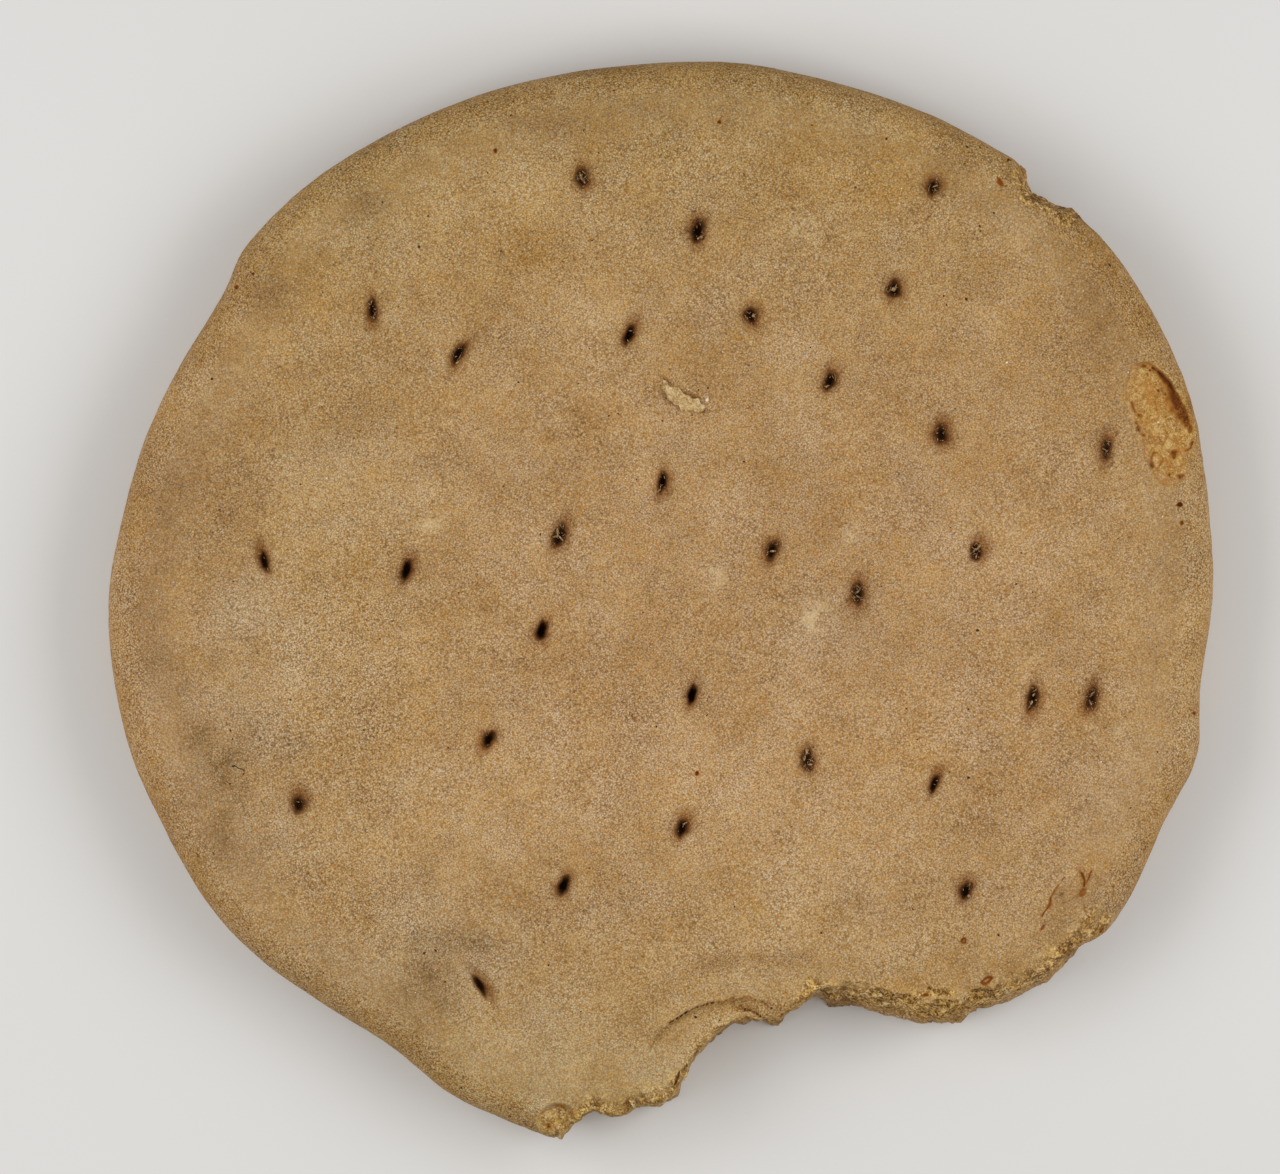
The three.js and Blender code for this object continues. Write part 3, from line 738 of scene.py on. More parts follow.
def refine_sheet(sheet, mould, outline):
    """Splits the sheet's cells where fine relief will be worked."""
    for spare, hole_limit, broken_rings in zip(REFINING_SPARE, HOLE_REFINING, BROKEN_RINGS):
        ring, bearing, places, _ = lay_places(read_vectors(sheet.data.polygons, "center"), mould, outline)
        x, y = places[:, 0], places[:, 1]
        chosen = np.zeros(len(places), bool)
        for hole in DOCKER_HOLES:
            chosen |= oval_reach(places, hole[0], hole[1], hole[2] / 2, hole[3] / 2, hole[4])[0] < hole_limit
        for line, half_width, _, _, _ in CRACKS:
            chosen |= from_line(places, line)[0] < half_width + 0.5 * spare
        for pit_x, pit_y, half_width, half_length, _, _ in RUST_PITS:
            chosen |= np.hypot(x - pit_x, y - pit_y) < max(half_width, half_length) + 0.4 * spare
        chosen |= np.hypot(x - CRACK_POCKET[0], y - CRACK_POCKET[1]) < 0.5 + 0.4 * spare
        chosen |= inside_depth(places, BLISTER_RIM) > -spare
        chosen |= from_line(places, FLAKE_LINE)[0] < 0.6 + 0.5 * spare
        chosen |= np.hypot(x - TIP_POCKET[0], y - TIP_POCKET[1]) < TIP_POCKET[2] + 0.5 * spare
        chosen &= places[:, 2] > CORE_HEIGHT
        crumbly = within_bearings(bearing, CRUMB_BEARINGS) | within_bearings(bearing, CHIP_BEARINGS)
        broken = within_bearings(bearing, BREAK_BEARINGS) if spare == REFINING_SPARE[0] else crumbly
        chosen |= (broken | crumbly) & (ring > broken_rings[0]) & (ring < broken_rings[1])
        split_cells(sheet, chosen)
    _, _, places, _ = lay_places(read_vectors(sheet.data.polygons, "center"), mould, outline)
    chosen = np.zeros(len(places), bool)
    for line, half_width, _, _, _ in CRACKS:
        chosen |= from_line(places, line)[0] < half_width + CRACK_SPARE
    split_cells(sheet, chosen & (places[:, 2] > CORE_HEIGHT))


def close_base(sheet):
    """Closes the flat underside with rings drawn in from the edge of the sheet."""
    pick(sheet)
    bpy.ops.object.mode_set(mode="EDIT")
    bpy.ops.mesh.select_mode(type="EDGE")
    bpy.ops.mesh.select_all(action="DESELECT")
    bpy.ops.mesh.select_non_manifold(
        extend=False, use_wire=False, use_boundary=True, use_multi_face=False,
        use_non_contiguous=False, use_verts=False,
    )
    for share in BASE_RINGS:
        bpy.ops.mesh.extrude_edges_move()
        bpy.ops.transform.resize(value=(share, share, 1), center_override=(0, 0, 0))
    bpy.ops.mesh.extrude_edges_move()
    bpy.ops.mesh.merge(type="CENTER")
    bpy.ops.mesh.select_all(action="SELECT")
    bpy.ops.mesh.normals_make_consistent(inside=False)
    bpy.ops.object.mode_set(mode="OBJECT")


def even_out(sheet, chosen, rounds):
    """Rubs the solid's facets out of the crust, easing back each time so that the edge keeps its place."""
    pick(sheet)
    bpy.ops.object.mode_set(mode="EDIT")
    select_only(sheet, "VERT", chosen)
    for _ in range(rounds):
        bpy.ops.mesh.vertices_smooth(factor=0.5)
        bpy.ops.mesh.vertices_smooth(factor=-0.52)
    bpy.ops.object.mode_set(mode="OBJECT")


# Working the crust

def near(places, x, y, reach):
    """The numbers of the places on the face that are within a square about a spot."""
    beside = (np.abs(places[:, 0] - x) < reach) & (np.abs(places[:, 1] - y) < reach)
    return np.flatnonzero(beside & (places[:, 2] > CORE_HEIGHT))


def raise_mark(marks, name, chosen, values):
    marks[name][chosen] = np.maximum(marks[name][chosen], values)


def hole_reach(places, hole, number):
    """How far each place is from the middle of a docker hole, as shares of the hole's own uneven outline."""
    x, y, width, length, lean = hole[:5]
    reach, bearing = oval_reach(places, x, y, width / 2, length / 2, lean)
    uneven = 0.09 * np.sin(2 * bearing + 1.3 * number) + 0.06 * np.sin(3 * bearing + 2.1 * number)
    uneven += 0.05 * np.sin(5 * bearing + 0.7 * number)
    return reach * (1 + uneven)


def prick_holes(places, marks):
    """Each docker hole is a ragged well in a worn, scorched mouth."""
    for number, hole in enumerate(DOCKER_HOLES):
        drift_x, drift_y, depth = hole[6:]
        close = near(places, hole[0], hole[1], 3.6)
        spots = places[close]
        ragged = 0.6 * waver(spots, 0.55, number) + 0.4 * waver(spots, 0.25, 40 + number)
        core = hole_reach(spots, hole, number) + 0.22 * ragged
        mouth = hole_reach(spots - (drift_x, drift_y, 0), hole, number) + 0.15 * ragged
        well = smooth(1.25, 0.0, core)
        funnel = smooth(2.5, 0.6, mouth)
        places[close, 2] -= depth * well + FUNNEL_DEPTH * funnel
        raise_mark(marks, "scorch", close, 0.5 * funnel + 0.5 * smooth(1.2, 0.3, core))


def open_cracks(places, marks):
    for number, (line, half_width, depth, scorch, rust) in enumerate(CRACKS):
        distance, share, _ = from_line(places, line)
        close = np.flatnonzero((distance < 1.0) & (places[:, 2] > CORE_HEIGHT))
        spots = places[close]
        width = half_width * (1.0 + 0.7 * waver(spots, 0.6, number))
        width *= 0.55 + 0.45 * np.sin(math.pi * share[close])
        groove = smooth(1.6, 0.4, distance[close] / np.maximum(width, 0.02))
        groove *= smooth(-0.65, -0.15, waver(spots, 0.5, 20.0 + number))
        halo = smooth(4.0, 1.0, distance[close] / half_width)
        places[close, 2] -= depth * groove
        shade = scorch * np.maximum(groove * smooth(-0.5, 0.1, waver(spots, 0.2, number)), 0.2 * halo)
        if rust > DRY_CRACK:
            raise_mark(marks, "scorch", close, shade)
        # Dry cracks are darkened as painted shade in the crack; rusty ones are scorched.
        else:
            marks["bake_and_shade"][close] -= CRACK_SHADE * shade
        raise_mark(marks, "rust", close, rust * np.maximum(groove, 0.15 * halo))
    close = near(places, CRACK_POCKET[0], CRACK_POCKET[1], 1.5)
    reach, _ = oval_reach(places[close], *CRACK_POCKET)
    pocket = smooth(1.4, 0.6, reach + 0.4 * waver(places[close], 0.4, 3.0))
    places[close, 2] -= 0.2 * pocket
    raise_mark(marks, "rust", close, 0.85 * pocket)
    raise_mark(marks, "scorch", close, 0.3 * pocket * smooth(0.2, 0.9, reach))


def sink_bite(places, marks):
    """The crust between the crack and the bite has sunk a little, and a crease runs outside it."""
    on_top = places[:, 2] > CORE_HEIGHT
    distance, share, side = from_line(places, BITE_CRACK)
    ends = fade_ends(share, 0.12)
    below = ends * (side < 0) * on_top
    places[:, 2] -= BITE_SINK * below * smooth(0.0, 0.45, distance) * smooth(6.0, 2.6, distance)
    # Painted shade just below the crack, on the sunken side.
    marks["bake_and_shade"] -= 0.06 * below * smooth(0.0, 0.15, distance) * smooth(1.5, 0.3, distance)
    marks["tint"] += 0.1 * below * smooth(2.0, 0.3, distance)
    distance, share, _ = from_line(places, OUTER_CREASE)
    ends = fade_ends(share, 0.25) * on_top
    places[:, 2] -= 0.14 * ends * smooth(1.1, 0.0, distance)
    # The crust is darker along the crease.
    marks["bake_and_shade"] -= 0.07 * ends * smooth(1.2, 0.0, distance)


def lift_flap(places, marks):
    distance, share, _ = from_line(places, FLAP_RIDGE)
    ridge = fade_ends(share, 0.2) * smooth(0.5, 0.0, distance)
    ridge *= places[:, 2] > CORE_HEIGHT
    places[:, 2] += FLAP_LIFT * ridge
    marks["bake_and_shade"] += 0.09 * ridge


def burn_pits(places, marks):
    for x, y, half_width, half_length, lean, charring in RUST_PITS:
        close = near(places, x, y, 1.5)
        reach, _ = oval_reach(places[close], x, y, half_width, half_length, lean)
        ragged = reach + 0.35 * waver(places[close], 0.25, x)
        ring = smooth(0.25, 0.75, ragged) if half_length > 0.25 and 0.45 < charring < 0.9 else 1.0
        places[close, 2] -= PIT_DEPTH * smooth(1.25, 0.4, ragged)
        raise_mark(marks, "rust", close, smooth(1.5, 0.85, ragged) * ring)
        raise_mark(marks, "scorch", close, charring * ring * smooth(1.2, 0.7, ragged))


def paint_flake_shadow(places, marks):
    """Painted shadow on the crust along the edge of the scrap of dough, darker on its left side."""
    distance, share, side = from_line(places, FLAKE_LINE)
    half_width = np.interp(share, np.linspace(0, 1, len(FLAKE_LINE)), FLAKE_HALF_WIDTHS)
    uneven = 0.6 + 0.6 * np.sin(9 * share + 2 * side)
    marks["bake_and_shade"] -= np.where(side > 0, 0.18, 0.14) * uneven * smooth(0.4, 0.0, distance - half_width)


def burst_blister(places, marks):
    """The blister's floor: lumpy, with a deep trench under the right lip and small pockets."""
    depth_in = inside_depth(places, BLISTER_RIM)
    depth_in = np.where(places[:, 2] > CORE_HEIGHT, depth_in, -10.0)
    close = np.flatnonzero(depth_in > -1.2)
    spots = places[close]
    inwards = depth_in[close] + 0.14 * waver(spots, 0.8, 3.0)
    trench, share, inner_side = from_line(spots, BLISTER_TRENCH)
    under_lip = smooth(2.0, 0.8, trench)
    steep, gentle = smooth(-0.06, 0.2, inwards), smooth(-0.1, 1.3, inwards)
    floor = under_lip * steep + (1 - under_lip) * gentle
    steps = np.linspace(0, 1, len(BLISTER_TRENCH))
    trench_width = np.interp(share, steps, BLISTER_TRENCH_HALF_WIDTHS)
    fade = np.where(inner_side < 0, 1.9, 1.4)
    gully = smooth(fade, 0.4, trench / trench_width + 0.5 * waver(spots, 0.5, 9.0)) * steep
    lump, gap = knobs(spots, 1.3, 8.0)
    fine_lump, fine_gap = knobs(spots, 0.55, 5.0)
    depth = floor * (BLISTER_DEPTH - 0.28 * lump - 0.08 * fine_lump) + 0.4 * gully
    net = 0.4 * smooth(0.13, 0.01, gap) + 0.15 * smooth(0.12, 0.01, fine_gap)
    # Under the lip the trench is painted dark: burnt crust, with painted shade fading softly into the floor.
    shade = smooth(fade + 0.5, 0.3, trench / trench_width + 0.8 * waver(spots, 0.45, 4.0)) * steep
    burn_and_shade = np.maximum(shade, net * steep * smooth(-0.3, 0.3, waver(spots, 1.5, 2.0)))
    for number, (line, half_width, strength) in enumerate(BLISTER_LINES):
        distance, _, _ = from_line(spots, line)
        crack = smooth(1.3, 0.2, distance / half_width + 0.7 * waver(spots, 0.4, number))
        depth += 0.1 * crack
        burn_and_shade = np.maximum(burn_and_shade, strength * crack)
    for x, y, half_width, half_length, lean in BLISTER_POCKETS:
        reach, bearing = oval_reach(spots, x, y, half_width, half_length, lean)
        pocket = smooth(1.4, 0.5, reach * (1 + 0.12 * np.sin(3 * bearing + x)) + 0.3 * waver(spots, 0.3, x))
        depth += 0.22 * pocket
        burn_and_shade = np.maximum(burn_and_shade, 0.95 * pocket)
    lip = smooth(-0.28, -0.12, inwards) * smooth(0.06, -0.08, inwards) * under_lip
    places[close, 2] -= depth - 0.08 * lip
    ragged = inwards + 0.5 * waver(spots, 0.5, 7.0) * (1 - under_lip)
    edge = under_lip * smooth(-0.2, 0.3, ragged) + (1 - under_lip) * smooth(-0.5, 0.9, ragged)
    raise_mark(marks, "hollow", close, np.maximum(edge, burn_and_shade))
    raise_mark(marks, "burn_and_shade", close, burn_and_shade)
    marks["bake_and_shade"][close] += 0.05 * lip
    marks["tint"][close] += 0.5 * lip


def scrape_tip(places, marks):
    """The shallow scar at the tip: lumpy, with a brown line along its upper rim and a dark spot."""
    x, y, reach = TIP_POCKET
    close = near(places, x, y, 1.6 * reach)
    spots = places[close]
    away = np.hypot(spots[:, 0] - x, 1.25 * (spots[:, 1] - y)) + 0.4 * waver(spots, 1.1, 1.0)
    upper = smooth(-0.3, 0.9, spots[:, 1] - y)
    line = smooth(0.26, 0.05, np.abs(away - 0.9 * reach)) * upper
    line *= smooth(-0.3, 0.2, waver(spots, 0.8, 5.0))
    reach_of_spot, _ = oval_reach(spots, *TIP_SPOT)
    spot = smooth(1.6, 0.5, reach_of_spot)
    lump, gap = knobs(spots, 1.0, 3.0)
    fine_lump, fine_gap = knobs(spots, 0.45, 6.0)
    scar = smooth(reach, 0.8 * reach, away)
    fill = TIP_FILL * np.clip(1 - (away / reach) ** 2, 0, 1)
    lumps = fill + 0.34 * (lump - 0.5) + 0.12 * (fine_lump - 0.5)
    places[close, 2] += scar * lumps - 0.3 * spot - 0.1 * line
    raise_mark(marks, "crumb", close, 0.58 * scar)
    marks["bake_and_shade"][close] += 0.05 * scar
    marks["tint"][close] += 0.2 * scar
    raise_mark(marks, "hollow", close, np.maximum(0.9 * line, spot))
    # Painted shade in the creases between the scar's lumps.
    creases = scar * np.maximum(0.25 * smooth(0.14, 0.01, gap), 0.1 * smooth(0.12, 0.01, fine_gap))
    raise_mark(marks, "burn_and_shade", close, np.maximum.reduce([0.5 * line, spot, creases]))


def knead_broken(places, normals, marks, looseness):
    """Knobs of crumb, with painted shade in the gaps between them, as strong as each place is broken and
    loose.
    """
    close = np.flatnonzero(looseness > LEAST_BREAK)
    spots = places[close]
    lump, gap = knobs(spots, 1.1, 12.0)
    fine_lump, fine_gap = knobs(spots, 0.5, 15.0)
    lift = 0.18 * (lump - 0.5) + 0.06 * (fine_lump - 0.5)
    places[close] += normals[close] * (looseness[close] * lift)[:, None]
    # Painted shade in the gaps between the knobs.
    dark = np.maximum(smooth(0.2, 0.02, gap), 0.6 * smooth(0.16, 0.02, fine_gap))
    dark *= looseness[close] * (0.05 + 0.3 * smooth(-0.3, 0.4, waver(spots, 2.0, 6.0)))
    raise_mark(marks, "burn_and_shade", close, dark)


def between_bearings(bearing, limits, fade=BREAK_FADE):
    """1 between two bearings given in degrees, fading out at both ends."""
    low, high = limits
    along = np.mod(np.degrees(bearing) - low, 360)
    return smooth(0, fade, along) * smooth(high - low, high - low - fade, along)


def square_edge(places, bearing, edge_gap):
    """Draws the crust out to the bitten edge, so that the edge is sharp."""
    firm = between_bearings(bearing, BREAK_BEARINGS) * (1 - between_bearings(bearing, CRUMB_BEARINGS))
    kept = 0.3 + 0.7 * smooth(0.2, EDGE_DRAW, edge_gap)
    shift = firm * np.maximum(edge_gap, 0) * (1 - kept) * smooth(CORE_HEIGHT, CORE_HEIGHT + 1.5, places[:, 2])
    outwards = places[:, :2] / np.maximum(np.linalg.norm(places[:, :2], axis=1), 1)[:, None]
    places[:, :2] += shift[:, None] * outwards


def nick_edge(places, bearing, edge_gap):
    """Small nicks along the bitten edge, which run down its face."""
    close = np.flatnonzero(within_bearings(bearing, BREAK_BEARINGS) & (edge_gap < NICK_REACH))
    spots = places[close] * (1, 1, 0.3)
    nicks = 0.6 * waver(spots, 0.9, 21.0) + 0.4 * waver(spots, 0.4, 22.0)
    depth = NICK_DEPTH * smooth(0.0, 0.45, nicks) * smooth(NICK_REACH, 0.2, edge_gap[close])
    outwards = spots[:, :2] / np.linalg.norm(spots[:, :2], axis=1)[:, None]
    places[close, :2] -= depth[:, None] * outwards


def patches(places, listed):
    total = np.zeros(len(places))
    for x, y, half_width, half_length, strength in listed:
        away = ((places[:, 0] - x) / half_width) ** 2 + ((places[:, 1] - y) / half_length) ** 2
        total += strength * np.exp(-away)
    return total


def chip_band(bearing, edge_gap, places):
    """1 on the band of crumb along the chip, which is widest at the middle."""
    low, high = CHIP_BEARINGS
    along = np.mod(np.degrees(bearing) - low, 360) / (high - low)
    close = np.flatnonzero((along < 1) & (edge_gap < 2.5) & (places[:, 2] > CORE_HEIGHT))
    width = CHIP_WIDTH * np.sqrt(np.sin(math.pi * along[close])) + 0.01
    uneven = edge_gap[close] + 0.5 * waver(places[close], 0.8, 2.0)
    band = np.zeros(len(places))
    band[close] = smooth(1.2, 0.8, uneven / width)
    return band


def broken_share(ring, bearing, edge_gap, normals, places):
    """How broken each place is, 1 on broken faces and 0 on sound crust, and how much crumb shows there."""
    height = places[:, 2]
    wandering = bearing + math.radians(BREAK_WANDER) * waver(places, 1.3, 23.0)
    bitten = between_bearings(wandering, BREAK_BEARINGS)
    faces_out = (ring > FACE_SHARE) * (normals[:, 2] > -0.9)
    sloping = smooth(0.97, 0.7, normals[:, 2])
    upright = smooth(0.45, 0.2, normals[:, 2])
    low = smooth(CRUST_TOP[1], CRUST_TOP[0], height)
    firm = between_bearings(wandering, BREAK_BEARINGS, WALL_FADE) * upright * faces_out
    loose = between_bearings(wandering, LOOSE_BEARINGS) * np.maximum(sloping, low) * faces_out
    steep = smooth(0.8, 0.55, normals[:, 2]) * (height > 0.6)
    chip = within_bearings(bearing, CHIP_BEARINGS) * steep * faces_out
    chip = np.maximum(chip, chip_band(bearing, edge_gap, places))
    broken = np.maximum.reduce([firm, loose, chip])
    loose_crumb = loose * (1 - 0.5 * smooth(8.0, 5.5, height))
    crumb = np.maximum.reduce([FIRM_CRUMB * firm, loose_crumb, CHIP_CRUMB * chip])
    rough = 0.5 * waver(places, 0.6, 14.0)
    rim_width = BITE_RIM * (1 - 0.6 * between_bearings(bearing, CRESCENT_BEARINGS))
    on_rim = bitten * (edge_gap < BITE_RIM + 1) * smooth(3.0, 9.5, height)
    rim = on_rim * smooth(rim_width, 0.3 * rim_width, edge_gap + 0.9 * rough)
    showing = patches(places, CRUMB_PATCHES) * (height > CORE_HEIGHT)
    showing = np.where(showing > 0, smooth(0.2, 0.8, showing + rough * (showing > 0.1)), showing)
    broken = np.maximum(broken + showing, 0.65 * rim)
    crumb = np.maximum(crumb + showing, RIM_CRUMB * rim)
    return np.clip(broken, 0, 1), np.clip(crumb, 0, 1)


def make_crust():
    mould, outline = make_mould()
    bpy.ops.object.select_all(action="DESELECT")
    bpy.ops.mesh.primitive_grid_add(x_subdivisions=SHEET_CELLS, y_subdivisions=SHEET_CELLS, size=2)
    crust = bpy.context.object
    crust.name = "crust"
    refine_sheet(crust, mould, outline)
    ring, bearing, places, normals = lay_places(corners_of(crust.data), mould, outline)
    set_corners(crust.data, places)
    edge_gap = outline.reach_at(np.arctan2(places[:, 1], places[:, 0])) - np.hypot(places[:, 0], places[:, 1])
    broken, crumb = broken_share(ring, bearing, edge_gap, normals, places)
    even_out(crust, (broken < LEAST_BREAK) & (ring < FOOT_RING), EVENING_ROUNDS)

    places = corners_of(crust.data)
    marks = {name: np.zeros(len(places)) for name in ("scorch", "rust", "hollow", "burn_and_shade")}
    marks["crumb"] = crumb
    looseness = FIRM_BREAK + (1 - FIRM_BREAK) * between_bearings(bearing, CRUMB_BEARINGS)
    marks["rim"] = smooth(7.0, 3.0, edge_gap) * (1 - 0.5 * between_bearings(bearing, BREAK_BEARINGS))
    marks["bake_and_shade"] = patches(places, BAKE_AND_SHADE_PATCHES)
    marks["dirt"] = patches(places, DIRT_PATCHES)
    marks["tint"] = TINT_SHARE * patches(places, TINT_PATCHES)
    marks["sandy"] = SANDINESS + patches(places, SANDY_PATCHES)
    marks["floury"] = patches(places, FLOURY_PATCHES)
    upper = 0.3 + 0.7 * smooth(5.0, 9.5, places[:, 2])
    marks["straw"] = np.clip(patches(places, STRAW_PATCHES), 0, 1) * upper
    marks["tint"] += EDGE_WARMTH * smooth(1.6, 0.3, edge_gap)
    marks["sandy"] += EDGE_SAND * smooth(2.2, 0.8, edge_gap)
    # Painted shade: the edge is darkened most at the top and bottom, away from the side lights.
    marks["bake_and_shade"] -= PAINTED_EDGE_SHADE * smooth(1.15, 0.2, edge_gap) * np.abs(np.sin(bearing)) * (1 - crumb)

    weigh(crust, "sound crust", np.where(places[:, 2] > 0.4, 1 - broken, 0))
    weigh(crust, "broken faces", np.where(places[:, 2] > 0.3, broken * looseness, 0))
    for group, length, height in ROUGHENING:
        roughen(crust, group, length, height)

    places = corners_of(crust.data)
    square_edge(places, bearing, edge_gap)
    nick_edge(places, bearing, edge_gap)
    knead_broken(places, read_vectors(crust.data.vertex_normals, "vector"), marks, broken * looseness)
    scrape_tip(places, marks)
    burst_blister(places, marks)
    sink_bite(places, marks)
    lift_flap(places, marks)
    prick_holes(places, marks)
    open_cracks(places, marks)
    burn_pits(places, marks)
    paint_flake_shadow(places, marks)
    places[:, 2] = np.maximum(places[:, 2], 0.0)
    set_corners(crust.data, places)
    for name, values in marks.items():
        mark(crust, name, values)
    close_base(crust)
    return crust


# Crumbs, bran and flour, and the scrap of dough stuck to the face

def lump_form():
    """The corners and faces of a rounded cube, from which every small lump is shaped."""
    steps = (-1, 0, 1)
    cells = [(x, y, z) for x in steps for y in steps for z in steps if (x, y, z) != (0, 0, 0)]
    number_of = {cell: number for number, cell in enumerate(cells)}
    faces = []
    for axis in range(3):
        for side in (-1, 1):
            for u in (-1, 0):
                for v in (-1, 0):
                    ring = []
                    for du, dv in ((0, 0), (1, 0), (1, 1), (0, 1)):
                        cell = [u + du, v + dv]
                        cell.insert(axis, side)
                        ring.append(number_of[tuple(cell)])
                    outward = side if axis != 1 else -side
                    faces.append(ring if outward > 0 else ring[::-1])
    corners = np.array(cells, float)
    return corners / np.linalg.norm(corners, axis=1)[:, None], np.array(faces)


def join_lumps(name, lumps):
    """Joins many small lumps into one piece. Each lump is its middle, its half sizes and its turn."""
    form, form_faces = lump_form()
    corners, faces = [], []
    for number, (middle, halves, turn) in enumerate(lumps):
        uneven = np.clip(1 + 0.16 * draw.standard_normal((len(form), 1)), 0.6, 1.4)
        corners.append((form * uneven * halves) @ np.array(turn).T + np.array(middle))
        faces.append(form_faces + number * len(form))
    mesh = bpy.data.meshes.new(name)
    mesh.from_pydata(np.concatenate(corners).tolist(), [], np.concatenate(faces).tolist())
    return add_object(name, mesh)


def any_turn():
    return Euler(draw.uniform(0, TURN, 3)).to_matrix()


def flat_turn(normal, bearing):
    """A turn that lays a lump along a surface, its length along a bearing in degrees."""
    lie = Vector((0, 0, 1)).rotation_difference(Vector(normal)).to_matrix()
    return lie @ Matrix.Rotation(math.radians(bearing), 3, "Z")


def mouth_level(crust_tree, hole):
    """The height of the sound crust round a docker hole."""
    ring = 1.1 * hole[3]
    around = np.linspace(0, TURN, 8, endpoint=False)
    spots = [(hole[0] + ring * math.cos(b), hole[1] + ring * math.sin(b)) for b in around]
    hits = [drop_onto(crust_tree, *spot)[0] for spot in spots]
    return sum(hit.z for hit in hits) / len(hits)


def make_hole_crumbs(crust_tree):
    """Strands of crumb that bridge the docker holes, and the larger scraps caught in them."""
    levels = [mouth_level(crust_tree, hole) for hole in DOCKER_HOLES]
    lumps = []
    for x, y, half_length, half_width, bearing in HOLE_SCRAPS:
        nearest = int(np.argmin([math.hypot(hole[0] - x, hole[1] - y) for hole in DOCKER_HOLES]))
        turn = Matrix.Rotation(math.radians(bearing), 3, "Z")
        lumps.append(((x, y, levels[nearest] - SCRAP_DROP), (half_length, half_width, half_width), turn))
    for hole, level in zip(DOCKER_HOLES, levels):
        x, y, width, length, lean, crumbs = hole[:6]
        angle = math.radians(lean)
        for _ in range(round(HOLE_STRANDS * crumbs)):
            reach, bearing = math.sqrt(draw.uniform(0, 1)), draw.uniform(0, TURN)
            across, along = reach * width / 2 * math.cos(bearing), reach * length / 2 * math.sin(bearing)
            spot_x = x + across * math.cos(angle) + along * math.sin(angle)
            spot_y = y - across * math.sin(angle) + along * math.cos(angle)
            thick = draw.uniform(0.02, 0.045)
            halves = (thick * draw.uniform(1.5, 7.0), thick, thick)
            turn = Euler((0, draw.uniform(-0.5, 0.5), draw.uniform(0, TURN))).to_matrix()
            lumps.append(((spot_x, spot_y, level - draw.uniform(0.2, 0.65)), halves, turn))
    x, y, half_length, half_width, bearing = FLAKE_SLIVER
    hit, normal = drop_onto(crust_tree, x, y)
    lumps.append((hit, (half_length, half_width, half_width), flat_turn(normal, bearing)))
    return join_lumps("hole_crumbs", lumps)


def make_break_crumbs(crust):
    """Crumbs that stick to the broken faces of the bite, the tip and the chip."""
    mesh = crust.data
    crumb = np.empty(len(mesh.vertices))
    mesh.attributes["crumb"].data.foreach_get("value", crumb)
    crumbly = crumb > CLINGING_CRUMB
    faces = [face for face in mesh.polygons if all(crumbly[corner] for corner in face.vertices)]
    tip_x, tip_y, tip_reach = TIP_POCKET
    faces = [face for face in faces if math.hypot(face.center.x - tip_x, face.center.y - tip_y) > tip_reach]
    faces = [face for face in faces if face.center.z > CLINGING_HEIGHT]
    areas = np.array([face.area for face in faces])
    lumps = []
    for number in draw.choice(len(faces), BREAK_CRUMBS, p=areas / areas.sum()):
        face = faces[number]
        crumbling = within_bearings(math.atan2(face.center.y, face.center.x), CRUMB_BEARINGS)
        radius = 0.05 + (0.12 if crumbling else 0.04) * draw.uniform(0, 1) ** 2.5
        middle = face.center - face.normal * (0.25 * radius)
        lumps.append((middle, radius * draw.uniform(0.6, 1.3, 3), any_turn()))
    return join_lumps("break_crumbs", lumps)


def on_face(crust_tree):
    """A random place on the sound face, with the surface's normal."""
    while True:
        x, y = draw.uniform(-FLECK_REACH, FLECK_REACH, 2)
        hit, normal = drop_onto(crust_tree, x, y)
        if hit and normal.z > LEVEL_CRUST and hit.z > CRUST_TOP[0]:
            return hit, normal


def make_bran(crust_tree):
    """Flecks of bran baked into the crust, and one caught fibre."""
    lumps = []
    for x, y in BRAN_SPECKS:
        hit, normal = drop_onto(crust_tree, x, y)
        if hit:
            size = draw.uniform(0.11, 0.17)
            lumps.append((hit, (size, 0.75 * size, 0.05), flat_turn(normal, draw.uniform(0, 360))))
    for _ in range(LOOSE_BRAN):
        hit, normal = on_face(crust_tree)
        size = draw.uniform(0.05, 0.11)
        lumps.append((hit, (size, 0.7 * size, 0.04), flat_turn(normal, draw.uniform(0, 360))))
    for number, (start, end) in enumerate(zip(FIBRE[:-1], FIBRE[1:])):
        middle, span = (np.array(start) + end) / 2, np.array(end) - start
        hit, normal = drop_onto(crust_tree, *middle)
        thick = 0.09 if number == 0 else 0.045
        halves = (0.6 * math.hypot(*span), thick, thick)
        lumps.append((hit, halves, flat_turn(normal, math.degrees(math.atan2(span[1], span[0])))))
    return join_lumps("bran", lumps)


def make_flour(crust_tree):
    """White and pale grains that lie on the crust."""
    lumps = []
    for x, y, radius in FLOUR_SPECKS:
        hit, _ = drop_onto(crust_tree, x, y)
        lumps.append((hit + Vector((0, 0, 0.4 * radius)), (radius, 0.8 * radius, 0.7 * radius), any_turn()))
    for _ in range(LOOSE_FLOUR):
        hit, _ = on_face(crust_tree)
        lumps.append((hit, draw.uniform(0.03, 0.075) * draw.uniform(0.7, 1.3, 3), any_turn()))
    return join_lumps("flour", lumps)


